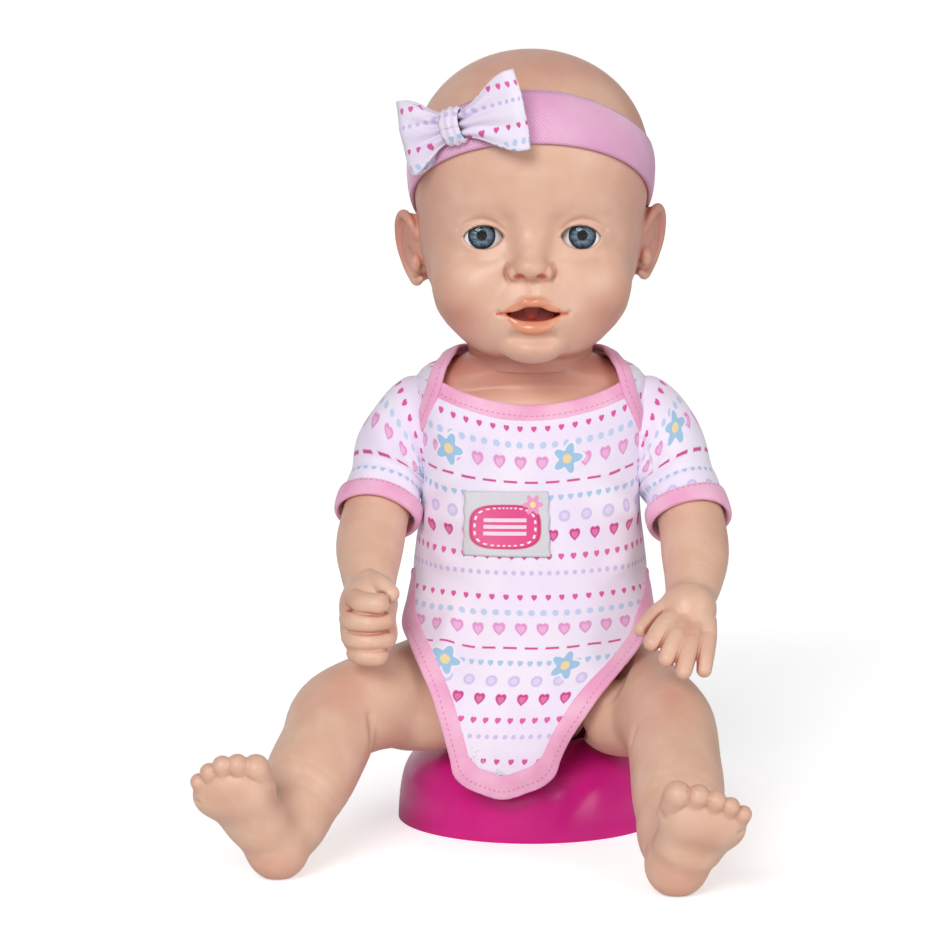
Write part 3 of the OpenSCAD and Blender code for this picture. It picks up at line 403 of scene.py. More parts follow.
class Paint:
    """Short hand for a node material round one Principled shader."""

    def __init__(self, name, colour, roughness, **sockets):
        self.material = bpy.data.materials.new(name)
        self.material.use_nodes = True
        self.tree = self.material.node_tree
        self.shader = self.tree.nodes["Principled BSDF"]
        self.shader.inputs["Base Color"].default_value = colour
        self.shader.inputs["Roughness"].default_value = roughness
        for socket, value in sockets.items():
            self.shader.inputs[socket.replace("_", " ")].default_value = value

    def node(self, kind, values=(), **settings):
        node = self.tree.nodes.new("ShaderNode" + kind)
        for key, value in settings.items():
            setattr(node, key, value)
        for socket, value in dict(values).items():
            self.give(value, node.inputs[socket])
        return node

    def give(self, value, socket):
        value = value.socket if isinstance(value, Wire) else value
        if isinstance(value, bpy.types.NodeSocket):
            self.tree.links.new(value, socket)
        else:
            socket.default_value = value

    def math(self, operation, a, b=0.0, c=0.0):
        return Wire(self, self.node("Math", {0: a, 1: b, 2: c}, operation=operation).outputs[0])

    def clamp(self, value, low, high):
        node = self.node("MapRange", {0: value, 1: low, 2: high}, interpolation_type="SMOOTHSTEP")
        return Wire(self, node.outputs[0])

    def mix(self, factor, a, b):
        return self.node("Mix", {0: factor, 6: a, 7: b}, data_type="RGBA").outputs[2]

    def far(self, x, y):
        return self.math("SQRT", x * x + y * y)

    def attribute(self, name):
        return Wire(self, self.node("Attribute", attribute_name=name).outputs["Fac"])

    def split(self, vector):
        return [Wire(self, part) for part in self.node("SeparateXYZ", {0: vector}).outputs]

    def print_place(self):
        """Where a point lies in the cloth's print: along and up."""
        return self.split(self.node("Attribute", attribute_name="print").outputs["Vector"])[:2]

    def place(self):
        return self.node("TexCoord").outputs["Object"]

    def noise(self, scale, detail=3.0, vector=None):
        values = {"Vector": vector if vector else self.place(), "Scale": scale, "Detail": detail}
        return Wire(self, self.node("TexNoise", values).outputs["Fac"])

    def cloudy(self, scale, detail, low, high, a, b):
        """Two colours in soft patches."""
        return self.mix(self.clamp(self.noise(scale, detail), low, high), a, b)

    def bump(self, height, distance, strength=1.0):
        node = self.node("Bump", {"Height": height, "Distance": distance * MM, "Strength": strength})
        self.give(node.outputs[0], self.shader.inputs["Normal"])

    def colour(self, value):
        self.give(value, self.shader.inputs["Base Color"])

    def roughness(self, value):
        self.give(value, self.shader.inputs["Roughness"])


SKIN = rgb(224, 180, 155)
SKIN_PALE = rgb(230, 190, 166)
# rosy blush, which also paints shade under the jaw, down the neck, at the face's sides and on the crown
BLUSH_AND_SHADE = rgb(198, 118, 106)
# painted shade: reddish darkening in creases and hollows, and under the chin
CREASE_SHADE = rgb(176, 94, 72)
LIPS = rgb(224, 150, 118)
# the mouth's own red, also laid into the nostrils as painted shade
MOUTH_RED = rgb(206, 84, 66)
# painted shadow of the upper lids along the top of the eye openings
LID_SHADE = rgb(104, 66, 54)


def skin_paint():
    """Satin cast vinyl: pale and blushed zones and faint mottling, with painted shade: reddish in the
    creases, dusky under the jaw, at the face's sides and on the crown, and a dark painted shadow along the
    upper lids.
    """
    p = Paint("skin", SKIN, 0.42, Subsurface_Weight=0.12, Subsurface_Scale=0.004, Coat_Weight=0.08,
              Coat_Roughness=0.3)
    p.shader.inputs["Subsurface Radius"].default_value = (1, 0.4, 0.25)
    ground = p.cloudy(90, 4, 0.35, 0.7, SKIN, SKIN_PALE)
    # the blush mask also paints shade, the crease mask paints shade in hollows, the mouth mask also paints
    # the nostrils' shade, and the last mask paints the upper lids' shadow
    for factor, tint in ((p.attribute("blush_and_shade") * 0.75, BLUSH_AND_SHADE),
                         (p.clamp(p.attribute("crease"), 0.22, 0.95) * 0.8, CREASE_SHADE),
                         (p.attribute("lips"), LIPS), (p.attribute("inside"), MOUTH_RED),
                         (p.attribute("lid_shadow"), LID_SHADE)):
        ground = p.mix(factor, ground, tint)
    p.colour(ground)
    p.roughness(p.attribute("lips").scaled(-0.2, p.noise(300).scaled(0.12, 0.38)))
    p.bump(p.noise(1400, 2), 0.05, 0.35)
    return p.material


# ---------------------------------------------------------------- head
# Share of the head's height, then of the half width, front depth and back depth
HEAD_ROWS = [
    (0.000, 0.49, 0.45, 0.41), (0.025, 0.50, 0.62, 0.42), (0.055, 0.52, 0.84, 0.45),
    (0.087, 0.56, 0.92, 0.50), (0.128, 0.67, 0.94, 0.59), (0.186, 0.79, 0.94, 0.70),
    (0.269, 0.88, 0.93, 0.80), (0.370, 0.93, 0.90, 0.90), (0.450, 0.95, 0.92, 0.95),
    (0.530, 0.985, 0.965, 0.985), (CROWN, 1, 1, 1),
]
SECTION = 2 / 0.87  # power of the head's squarish sections


def skull_point(azimuth, share, off=0):
    """Points of the plain skull at azimuths from the face and shares of the head's height."""
    azimuth, share = np.broadcast_arrays(np.asarray(azimuth, float), np.asarray(share, float))
    s = profile(HEAD_ROWS, np.minimum(share, CROWN))
    taper = np.sqrt(np.maximum(0, 1 - np.maximum(0, (share - CROWN) / (1 - CROWN)) ** 2.2))
    sine, cosine = np.sin(azimuth), np.cos(azimuth)
    depth = np.where(cosine > 0, s[..., 1] * SKULL[1], s[..., 2] * SKULL[2]) * taper + off
    width = s[..., 0] * SKULL[0] * taper + off
    x, y = width * bent(sine, 2 / SECTION), -depth * bent(cosine, 2 / SECTION)
    return np.stack([x, y, SEAM_Z + share * HEAD_H], -1)


def skull_field(field):
    """Fills the field with the plain skull."""
    x, y, z = field.all()
    share = (z - SEAM_Z) / HEAD_H
    s = profile(HEAD_ROWS, np.clip(share, 0, CROWN)).astype(np.float32)
    width = s[..., 0] * SKULL[0]
    depth = np.where(y < 0, s[..., 1] * SKULL[1], s[..., 2] * SKULL[2])
    flat = (np.abs(x) / width) ** SECTION + (np.abs(y) / depth) ** SECTION
    flat = flat ** (1 / SECTION)
    rise = np.maximum(0, (share - CROWN) / (1 - CROWN)) ** 2.2
    value = np.sqrt(flat**2 + rise) - 1
    slope = np.sqrt(sum(g**2 for g in np.gradient(value, field.step)))
    value = value / np.maximum(slope, 0.006)
    neck = np.sqrt(x**2 + y**2) - NECK_R - 0.35
    value = np.where(z < SEAM_Z, neck, value)
    field.value[:] = np.maximum(smooth_min(value, np.maximum(neck, z - NECK_TOP), 3), NECK_LOW - z)


NOSE_X = -0.8  # middle of the nose
LIP_UPPER = [(-12.2, -44.6, 208.9, 0.5), (-8.6, -47.4, 210.0, 1.2), (-5.6, -49.0, 211.9, 1.5),
             (-3.0, -50.2, 213.2, 1.7), (0.2, -50.4, 212.9, 1.55), (3.4, -50.2, 213.2, 1.7),
             (6.2, -49.0, 211.9, 1.5), (9.4, -47.3, 210.0, 1.2), (12.9, -44.5, 208.9, 0.5)]
LIP_LOWER = [(-9.8, -45.8, 205.8, 0.9), (-7.2, -47.7, 203.9, 1.9), (-3.6, -49.2, 203.0, 2.4),
             (0.4, -49.8, 202.8, 2.5), (4.4, -49.2, 203.0, 2.4), (8.0, -47.7, 203.9, 1.9),
             (10.6, -45.7, 205.8, 0.9)]


def nostril_at(side):
    return (NOSE_X + side * 4.3, -51.8, 222.9)


def build_face(f):
    for at, radii, soft in (((23, -31, 217.5), (15, 14.5, 13.5), 10),  # cheeks
                            ((13.5, -29, 204.2), (17, 15.2, 12.6), 5),  # jaw
                            ((24.5, -24, 210.5), (11.4, 12, 10), 5)):
        for side in (1, -1):
            f.join(egg((side * at[0], *at[1:]), radii), soft)
    for side in (-1, 1):  # sockets, the hollows beside the bridge, and the brow
        f.press(mirror(side, [(14, -42, 241), (24, -40, 238)]), 2.0, 7.5, True)
        f.press(mirror(side, [(9.5, -44, 243), (9, -44, 236)]), 1.3, 3.6, True)
        f.press(mirror(side, [(13, -44, 251.5), (27, -40, 250)]), -0.7, 5, True)
    f.join(egg((0.4, -41.5, 209), (15.5, 8, 11)), 7)  # muzzle
    f.join(egg((0.2, -40.6, 195.2), (11.5, 8.6, 7)), 4)  # chin
    bridge = [(NOSE_X, -40, 246, 4.5), (NOSE_X, -42.4, 238, 4.2), (NOSE_X, -47.2, 231, 4.8)]
    f.join(rope(curve(bridge, 3)), 7)
    f.join(egg((NOSE_X, -49.6, 226.5), (6.4, 5.3, 4.7)), 2.4)
    for side in (-1, 1):  # wings of the nose, nostrils and the folds beside them
        f.join(egg((NOSE_X + side * 6.2, -46.8, 224.2), (3.3, 4.3, 3.4), (0, 0, side * 18)), 1.0)
        f.carve(egg(nostril_at(side), (2.3, 3.2, 1.15), (-12, side * 10, side * 22)), 0.4)
        wing = [(NOSE_X + side * 8.7, -46, 227.2), (NOSE_X + side * 9.3, -46, 224.2),
                (NOSE_X + side * 8.5, -46, 221)]
        f.press(curve(wing, 3), 0.6, 0.8, True)
        fold = [(NOSE_X + side * 10.5, -44, 221), (side * 14.5, -42, 213)]
        f.press(fold, 0.5, 3, True)
    for side in (-1, 1):  # lids: a shell over each eyeball, opened by an almond
        eye = (side * EYE[0], EYE[1], EYE[2])
        f.join(egg(eye, (EYE_R + 1.25,) * 3), 3.4)
        crease = mirror(side, [(28.4, -41, 240.4), (24.6, -41, 243.2), (19.4, -41, 244.6),
                               (14.8, -41, 243.3), (11.6, -41, 240.6)])
        f.press(curve(crease, 4), 0.7, 0.85, True)
        f.press(curve([(x, y, z + 2.3) for x, y, z in crease], 4), -0.35, 1.6, True)
        bag = mirror(side, [(26, -41, 230.6), (19, -41, 228.4), (12.5, -41, 230.4)])
        f.press(curve(bag, 3), 0.3, 1.6, True)
        almond_cut(f, side)
        f.carve(egg(eye, (EYE_R + 0.25,) * 3), 0.3)
    # mouth
    f.join(rope(curve(LIP_UPPER, 4)), 1.5)
    f.join(rope(curve(LIP_LOWER, 4)), 1.5)
    f.press(curve([(-7.5, -48, 199), (0.4, -49, 198.2), (8.3, -48, 199)], 3), 1.3, 2.2, True)
    f.press([(0.1, -50, 216.4), (-0.2, -50, 220.4)], 0.55, 1.5, True)  # philtrum
    for side in (-1, 1):
        corner = [(0.5 + side * 9.6, -46, 208.5), (0.5 + side * 12.4, -45, 208.2),
                  (0.5 + side * 13.8, -44, 208.9)]
        f.press(curve(corner, 3), 1.1, 0.9, True)
    f.carve(mouth_hole(), 0.6)


def almond(side, x, z):
    """How far a place lies outside an eye opening, about in mm; below 0 inside it."""
    dx = (side * x - EYE[0] + 0.6) / 7.4
    dz = (z - EYE[2] + 0.8 + 0.35 * dx) / np.where(z > EYE[2] - 0.8, 4.75, 4.3)
    return (np.abs(dx) ** 1.9 + np.abs(dz) ** 1.75 - 1) * 2.6


def almond_cut(f, side):
    low = (side * EYE[0] - 11, -56, EYE[2] - 8)
    high = (side * EYE[0] + 11, -33, EYE[2] + 8)
    cut, x, y, z = f.window(low, high)
    hole = almond(side, x, z) + 0 * y
    f.value[cut] = -smooth_min(-f.value[cut], hole, 0.8)


def mouth_edges(x):
    """Lower and upper edge of the open mouth at x."""
    dx = np.abs(x - MOUTH_X)
    arch = np.clip(1 - dx / 11.2, 0, 1)
    top = 208.4 + 2.7 * arch**1.05 + 0.6 * np.exp(-(((dx - 3.0) / 1.9) ** 2))
    bottom = 208.3 - 2.7 * np.clip(1 - (dx / 10.8) ** 2.6, 0, 1)
    return bottom, top


def mouth_hole():
    def field(x, y, z):
        bottom, top = mouth_edges(x)
        wall = np.maximum(z - top, bottom - z)
        return np.maximum(wall, y + 40.5)

    return field, np.array((-11.5, -60, 203)), np.array((12.5, -40, 214))


def build_ears(f):
    for side in (-1, 1):
        lift = -3.5 if side < 0 else -1.0

        def at(x, y, z, *r):
            return (side * x, y, z + lift) + r

        f.join(egg(at(45.4, 6, 233), (4.2, 9, 14), (0, side * 10, side * -26)), 2)
        rim = [at(45, -1.5, 238, 1.5), at(48, 0, 244, 1.8), at(50.6, 5, 246.4, 1.9),
               at(52.2, 10.5, 242.5, 2.0), at(51.8, 12.5, 234, 1.9), at(49.4, 10.4, 226, 1.8),
               at(47.2, 7, 221.5, 1.7), at(45.4, 3, 219.6, 1.8), at(43.6, -1, 221, 1.4)]
        f.join(rope(curve(rim, 4)), 1.2)
        f.carve(egg(at(53, 4.2, 237), (3.5, 4.4, 6.6), (0, side * 10, side * -26)), 1.0)
        f.carve(egg(at(50.2, 1.8, 229.5), (3.6, 3.2, 5), (0, 0, side * -26)), 1.0)
        f.join(egg(at(45.6, -1.8, 227.5), (2.4, 2.4, 3.8), (0, 0, side * -20)), 1.0)
        f.join(rope([at(48.4, 5, 242, 0.9), at(50, 8.5, 235, 1.1), at(48.6, 8, 228, 1.1)]), 1.0)


def glow(points, at, radius):
    """1 at a place, fading to 0 at radius from it."""
    return 1 - smooth_step(np.linalg.norm(points - np.asarray(at), axis=1), 0, radius)


def points_of(obj):
    co = np.empty(len(obj.data.vertices) * 3, np.float32)
    obj.data.vertices.foreach_get("co", co)
    return co.reshape(-1, 3) / MM


def build_head():
    f = Field((-58, -66, 178), (58, 62, 312))
    skull_field(f)
    build_face(f)
    build_ears(f)
    head = f.mesh("head_skin")
    p = points_of(head)
    blush_and_shade = 0.75 * (glow(p, (-29, -36, 206), 22) + glow(p, (30, -36, 206), 22))
    blush_and_shade += 0.3 * glow(p, (0, -48, 189), 13) + 0.3 * glow(p, (NOSE_X, -56, 221), 6)
    # painted shade under the jaw and down the neck
    blush_and_shade += 0.75 * (1 - smooth_step(p[:, 2], 188, 201)) * smooth_step(p[:, 1], -42, -30)
    blush_and_shade += 0.4 * (glow(p, (-50, 8, 231), 22) + glow(p, (50, 8, 232), 22))
    # painted shade at the sides of the face
    blush_and_shade += 0.5 * (smooth_step(np.abs(p[:, 0]), 27, 46) * smooth_step(p[:, 2], 205, 240))
    # an even tint all over, and painted shade on the crown
    blush_and_shade += 0.1 + 0.4 * smooth_step(p[:, 2], 286, 307)
    store(head, "blush_and_shade", np.clip(blush_and_shade, 0, 1))
    dx = np.abs(p[:, 0] - MOUTH_X)
    high = 208.7 + 6.2 * (1 - np.minimum(dx / 13, 1) ** 1.6) + 0.5 * np.exp(-(((dx - 3.6) / 1.6) ** 2))
    low = 207.8 - 7.6 * (1 - np.minimum(dx / 10.8, 1) ** 3)
    lips = (1 - smooth_step(p[:, 2], high - 0.5, high + 0.5)) * smooth_step(p[:, 2], low - 0.6, low + 0.6)
    store(head, "lips", lips * (1 - smooth_step(dx, 10, 13)) * smooth_step(-p[:, 1], 36, 38))
    bottom, top = mouth_edges(p[:, 0])
    within = smooth_step(np.minimum(top - p[:, 2], p[:, 2] - bottom), -0.7, -0.1)
    deep = (np.abs(p[:, 0]) < 14) & (p[:, 1] < -36)
    store(head, "inside", np.where(deep, within * smooth_step(p[:, 1], -49.6, -47.4), 0))
    # painted shade: a dark line where the upper lid shades the top of each eye opening, and darkening in the
    # nostrils
    lid_shadow, nostril = np.zeros(len(p)), np.zeros(len(p))
    for side in (-1, 1):
        edge = almond(side, p[:, 0], p[:, 2])
        front = (p[:, 1] < -30) & (side * p[:, 0] > 5) & (p[:, 2] > EYE[2] - 0.5)
        lid_shadow = np.maximum(lid_shadow, np.where(front, 1 - smooth_step(np.abs(edge - 0.1), 0.25, 0.6), 0))
        d = np.linalg.norm((p - nostril_at(side)) * (0.9, 0.6, 1.5), axis=1)
        nostril = np.maximum(nostril, 1 - smooth_step(d, 1.7, 2.6))
    store(head, "lid_shadow", lid_shadow * 0.85)
    # less of the painted crease shade over the ears
    store(head, "crease", read(head, "crease") * np.where(np.abs(p[:, 0]) > 42, 0.6, 1))
    # the nostrils' painted shade takes the mouth's red
    store(head, "inside", np.maximum(read(head, "inside"), nostril * 0.75))
    finish_piece(head, "head", SKIN_MATERIAL, "skin_vinyl", "head_shell")


# ---------------------------------------------------------------- arms
ARM_STEP = 0.85  # the arms' finer field, as a share of the others' step
# Middle line of each arm from the shoulder: x outwards, y, z, and radius as a share of FOREARM_R
ARM_LINES = {
    -1: [(0, 0, 0, 0.97), (4.5, -2, -4, 0.98), (9.5, -5, -10, 0.98), (13.5, -11, -21, 0.98),
         (17, -20, -33, 0.985), (19, -31, -43, 1), (19, -43, -50.5, 0.86),
         (18.5, -54, -57, 0.72), (18.5, -60, -61, 0.73)],
    1: [(0, 0, 0, 0.97), (4.5, -2, -4, 0.98), (9.5, -5, -10, 0.98), (15, -11, -22, 0.98),
        (19, -20, -35, 0.985), (20, -32, -45.5, 1), (19, -44, -54, 0.86),
        (17, -54, -60.5, 0.72), (15.5, -60, -64, 0.73)],
}


def arm_spine(side):
    return [(side * (SHOULDER[0] + p[0]), SHOULDER[1] + p[1], SHOULDER[2] + p[2], p[3] * FOREARM_R)
            for p in ARM_LINES[side]]


def seam_plane(field, at, side, tilt):
    """Cuts off what lies inboard of a shoulder's or a hip's face, and 0.5 mm more."""
    x, y, z = field.all()
    out = (side * math.cos(tilt), -math.sin(tilt))
    along = (x - side * at[0]) * out[0] + (z - at[2]) * out[1] + 0 * y
    field.value[:] = np.maximum(field.value, 0.5 - along)


def finish_limb(field, name, *glows):
    """Meshes a limb and blushes its skin round places: strength, place and radius."""
    limb = field.mesh(name + "_skin")
    p = points_of(limb)
    no_face_marks(limb, sum(strength * glow(p, at, radius) for strength, at, radius in glows))
    finish_piece(limb, name, SKIN_MATERIAL, "skin_vinyl", name)


def nail(field, at):
    """A small soft nail: a rim pressed round a raised oval."""
    at = np.asarray(at, float)
    field.press([at, at + 0.1], 0.25, 1.5)
    field.press([at, at + 0.1], -0.3, 0.9)


def right_hand(f):
    """Closed fingers, one above the other, with the thumb across."""
    # height, radius, x of the tip and x of the knuckle
    tips = [(99.6, 4.3, -55.2, -68.2), (92.2, 4.15, -53.4, -70.6), (84.9, 3.95, -52.8, -70),
            (78.8, 3.6, -55.4, -68.4)]
    for k, (z, r, tip, back) in enumerate(tips):
        finger = curve([(back, -69.5, z + 0.4, r * 0.96), (back + 3, -74.5, z, r),
                        (back + 8.5, -77 + 0.4 * k, z - 0.1, r * 0.97),
                        (tip - r * 0.85, -75.4 + 0.6 * k, z + 0.3, r * 0.88)], 4)
        f.join(rope(finger), 0.45)
        if k:
            line = [(back - 1, -76, z + r), (back + 6, -79, z + r - 0.1), (tip - 3, -78, z + r + 0.2)]
            f.press(curve(line, 3), 0.35, 0.8)
        nail(f, (tip - 2.4, -75.4 + 0.6 * k - r * 0.72, z + 0.4))
    thumb = curve([(-63, -60, 106, 4.0), (-58.5, -66, 105.4, 3.9), (-54.6, -70, 102.4, 3.5)], 4)
    f.join(rope(thumb), 1.2)
    f.press(curve([(-75, -50, 112), (-66, -62, 108.5), (-56, -60, 106)], 4), 0.6, 1.6)
    f.press([(-70, -71, 100), (-69, -72, 96)], 0.5, 1.6)


def left_hand(f):
    """The thumb and four spread fingers, hanging."""
    fingers = [
        [(54, -60, 97, 3.9), (48.4, -64, 93.5, 3.8), (44.4, -68, 90.3, 3.5), (42, -70.5, 88.6, 3.0)],
        [(56, -66, 94, 3.9), (51.4, -72, 91.3, 3.9), (48.2, -76, 88.2, 3.75), (45.8, -79, 84.9, 3.4)],
        [(59, -68, 92, 4.0), (55.9, -75, 88, 4.0), (53.3, -79.5, 83.6, 3.85), (51.2, -82.5, 79.4, 3.4)],
        [(63, -68.5, 90.5, 4.0), (60.9, -76, 85.5, 4.0), (59, -81, 80.2, 3.8), (57.6, -84.5, 75, 3.4)],
        [(67.6, -66, 91, 3.7), (67.3, -73, 86, 3.7), (66.4, -79, 80.5, 3.45), (65.6, -82.5, 75, 3.0)],
    ]
    for k, finger in enumerate(fingers):
        f.join(rope(curve(finger, 4)), 0.6)
        if k:
            end, before = np.array(finger[3]), np.array(finger[2])
            way = unit(end[:3] - before[:3])
            nail(f, end[:3] - way * 0.6 + unit((0, -1, 0.75)) * end[3] * 0.78)
            knuckle = np.array(finger[1])
            f.press([knuckle[:3] + (-1.5, -2, 2.5), knuckle[:3] + (1.5, -2, 2.5)], 0.3, 1.0)
    f.press(curve([(50, -50, 110), (60, -61, 107.5), (71, -58, 104)], 4), 0.6, 1.6)


ARM_BOXES = {-1: ((-84, -92, 66), (-38, 20, 182)), 1: ((36, -94, 62), (84, 20, 182))}
PALMS = {  # middle, radii, tilt in degrees and softness
    -1: [((-63.5, -62, 97), (10.5, 8.5, 9.5), 0, 5), ((-66.5, -66.5, 89), (7.8, 8, 12), 0, 4),
         ((-61, -64, 86), (9, 6, 9), 0, 4)],
    1: [((60.5, -61.5, 95), (10.2, 8.4, 9.5), 30, 5), ((60.8, -67.5, 89), (9, 5.4, 6.5), 35, 3)],
}
ARM_BLUSH = {
    -1: [(0.5, (-70, -70, 98), 9), (0.35, (-54, -75, 90), 9), (0.3, (-74, -30, 122), 22)],
    1: [(0.5, (60, -75, 88), 9), (0.3, (46, -80, 80), 7), (0.3, (52, -84, 75), 7),
        (0.3, (75, -30, 118), 22)],
}


def build_arm(side):
    f = Field(*ARM_BOXES[side], STEP * ARM_STEP)
    f.join(rope(curve(arm_spine(side), 5)), 2)
    for at, radii, tilt, soft in PALMS[side]:
        f.join(egg(at, radii, (tilt, 0, 0)), soft)
    if side < 0:
        right_hand(f)
    else:
        left_hand(f)
    seam_plane(f, SHOULDER, side, SHOULDER_TILT)
    finish_limb(f, "arm_" + SIDES[side], *ARM_BLUSH[side])


def no_face_marks(obj, blush_and_shade):
    """Limb skins use the head's material, with its lips, its mouth and nostril marks and its painted lid
    shadow left out.
    """
    count = len(obj.data.vertices)
    store(obj, "blush_and_shade", np.clip(blush_and_shade, 0, 1))
    for name in ("lips", "inside", "lid_shadow"):
        store(obj, name, np.zeros(count))


# ---------------------------------------------------------------- legs
# Middle line of each leg from the hip: x outwards, y, z and radius
LEG_LINES = {
    -1: [(0, 0, 0, 19.1), (10, -14, -3, 19.5), (22, -29, -4.5, 19.5), (33, -42, -5, 18.9),
         (43, -53, -8.5, 18.2), (47, -65, -16.5, 17.5), (53, -78, -27, 17.2),
         (60, -91, -39.5, 14), (64, -101, -48.7, 11)],
    1: [(0, 0, 0, 19.1), (6, -16, -4, 19.5), (13, -34, -7.5, 19.1), (18, -50, -9, 18.3),
        (20.5, -64, -11.5, 17.8), (21.5, -79, -20, 17.5), (22, -96, -30, 17.5),
        (21, -112, -40.5, 14), (20, -128, -48.6, 11)],
}
HEELS = {-1: (-97, -110, 11.4), 1: (53, -137, 11.4)}
# Tips of the toes from the big one on: x, y, z and radius
TOES = {
    -1: [(-103.5, -132, 46.5, 4.9), (-110.4, -134, 48.4, 4), (-116, -133.5, 48, 3.7),
         (-121, -132, 45.2, 3.4), (-125, -130, 41.2, 3.1)],
    1: [(51.5, -160, 42.6, 4.9), (59.5, -162, 43, 4), (65.8, -161.5, 41, 3.7),
        (71.2, -160, 38.4, 3.4), (76, -158, 35.2, 3.1)],
}
# Fullness of the seated thigh just above the potty: middle and radii
THIGH_FILL = {
    -1: [((-47, -27, 48.5), (17, 17, 16)), ((-38, -38, 50), (15, 15, 15))],
    1: [((35, -35, 48.5), (18, 19, 16.5))],
}
LEG_BOXES = {-1: ((-134, -142, -3), (-14, 16, 84)), 1: ((18, -170, -3), (84, 16, 84))}
SOLES = {-1: (-0.34, -0.71, -0.61), 1: (0.05, -0.86, -0.5)}  # where each sole faces


def flat_rope(rows, flat):
    """Oval chain through rows of x, y, z, half thickness along flat, and half width."""
    rows = np.asarray(rows, float)
    flat = unit(flat)

    def oval_far(p, q, t, rest):
        thick = p[3] + (q[3] - p[3]) * t
        wide = p[4] + (q[4] - p[4]) * t
        off = sum(n * v for n, v in zip(flat, rest))
        side = np.sqrt(np.maximum(sum(v**2 for v in rest) - off**2, 0))
        near = np.sqrt((off / thick) ** 2 + (side / wide) ** 2)
        return (near - 1) * np.minimum(thick, wide)

    def field(x, y, z):
        return nearest(oval_far(*stretch) for stretch in stretches(rows, x, y, z))

    return boxed(field, rows)


def build_leg(side):
    spine = [(side * (HIP[0] + p[0]), HIP[1] + p[1], HIP[2] + p[2], p[3]) for p in LEG_LINES[side]]
    sole = unit(SOLES[side])
    f = Field(*LEG_BOXES[side])
    f.join(rope(curve(spine, 5)), 2)
    for at, radii in THIGH_FILL[side]:
        f.join(egg(at, radii), 6)
    heel, toes = np.array(HEELS[side]), np.array([t[:3] for t in TOES[side]])
    across = unit(toes[0] - toes[4])
    way = unit(toes.mean(0) - heel)
    way = unit(way - across * (way @ across))
    ball = toes.mean(0) - way * 11.5
    middle = (heel + ball) / 2
    f.join(flat_rope([(*heel, 10, 10.6), (*middle, 9.6, 13.4), (*(ball - way * 3), 7.6, 15)], sole), 4)
    f.join(egg(heel, (10.6, 10.8, 10.9)), 3)
    f.join(oval(ball, (15, 10.5, 7), (across, way, np.cross(across, way))), 5)
    f.join(rope([spine[7], (*middle, 9)]), 5)
    f.join(rope([(*(middle - 2 * sole), 8.5), (*(ball - 1.5 * sole), 6.5)]), 4)
    for toe in TOES[side]:
        tip, r = np.array(toe[:3]), toe[3]  # each toe's stem, then its tip
        f.join(rope([(*(tip - way * 9), r * 0.84), (*(tip - way * 5), r * 0.9)]), 1.6)
    for k, toe in enumerate(TOES[side]):
        tip, r = np.array(toe[:3]), toe[3]
        f.join(rope([(*(tip - way * 3.4), r * 1.02), (*(tip + way * (0.4 if k else 1.0)), r * 1.06)]), 0.25)
        fold = tip - way * (r + 3.6) + sole * 3.2
        f.press([fold - across * r * 0.7, fold + across * r * 0.7], 0.8, 1.1)
    f.press([middle + sole * 9 + across * 4 + way * 2, middle + sole * 9 - across * 3 + way * 2], 1.0, 5)
    f.press([ball + sole * 7 - way * 1 - across * 6, ball + sole * 7 - way * 2 + across * 6], -0.5, 5)
    # crease inside the knee
    knee = np.array(spine[4][:3])
    crease = [(13.5, -12, 3), (14, -13, -2), (13, -13, -8)]
    f.press(curve(knee + mirror(-side, crease), 4), 1.2, 2.0)
    seam_plane(f, HIP, side, HIP_TILT)
    if side > 0:  # the inner thigh stands forward of the belly, behind the flap
        f.join(egg((30, -46.5, 52), (11, 8.5, 12.5)), 4)
    f.value[:] = np.maximum(f.value, FLOOR_GAP - f.all()[2])
    finish_limb(f, "leg_" + SIDES[side], (0.4, knee + (0, -12, 12), 20),
                (0.45, heel + sole * 8, 15), (0.4, ball + sole * 4, 13),
                *((0.35, toe[:3], 6) for toe in TOES[side]))


# ---------------------------------------------------------------- eyes
IRIS_R = 5.3  # in mm, at the iris's dark rim


def eye_materials():
    """Looks of the CAD's own eyes."""
    white = Paint("eye_white", rgb(244, 243, 243), 0.12, Coat_Weight=0.6, Coat_Roughness=0.05)
    white.colour(white.cloudy(60, 2, 0.4, 0.8, rgb(246, 245, 246), rgb(232, 231, 238)))
    clear = Paint("eye_clear", (1, 1, 1, 1), 0.04, Metallic=1.0)  # a bare reflecting film
    rim = Wire(clear, clear.node("Fresnel", {"IOR": 1.5}).outputs[0])
    clear.give(rim.scaled(0.55, 0.0), clear.shader.inputs["Alpha"])
    for side in SIDES.values():
        repaint("eyeball_" + side, white.material)
        repaint("cornea_" + side, clear.material)
        repaint("iris_" + side, iris_paint(side))


def iris_paint(side):
    """Blue-grey iris with radial fibres, a dark rim and a black pupil."""
    p = Paint("iris_" + side, rgb(96, 110, 124), 0.6, Specular_IOR_Level=0.1)
    spots = points_of(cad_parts["iris_" + side])
    centre = (spots.min(0) + spots.max(0)) / 2 * MM
    middle = p.node("VectorMath", {0: p.place(), 1: centre.tolist()}, operation="SUBTRACT")
    x, _, z = p.split(middle.outputs[0])
    far = p.far(x, z) / (IRIS_R * MM)
    fibre = p.node("CombineXYZ", {0: p.math("ARCTAN2", z, x) * 6.0, 1: far * 1.4})
    streak = p.noise(3.0, 3, fibre.outputs[0])
    colour = p.mix(p.clamp(streak, 0.35, 0.65), rgb(74, 98, 120), rgb(150, 176, 192))
    colour = p.mix(p.clamp(far, 0.55, 0.98), colour, rgb(48, 62, 80))
    p.colour(p.mix(p.clamp(far, 0.42, 0.36), colour, rgb(14, 14, 20)))
    return p.material


def repaint(node, material):
    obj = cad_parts[node]
    obj.data.materials.clear()
    obj.data.materials.append(material)
    obj.data.shade_smooth()
    obj.data.set_sharp_from_angle(angle=math.radians(40))


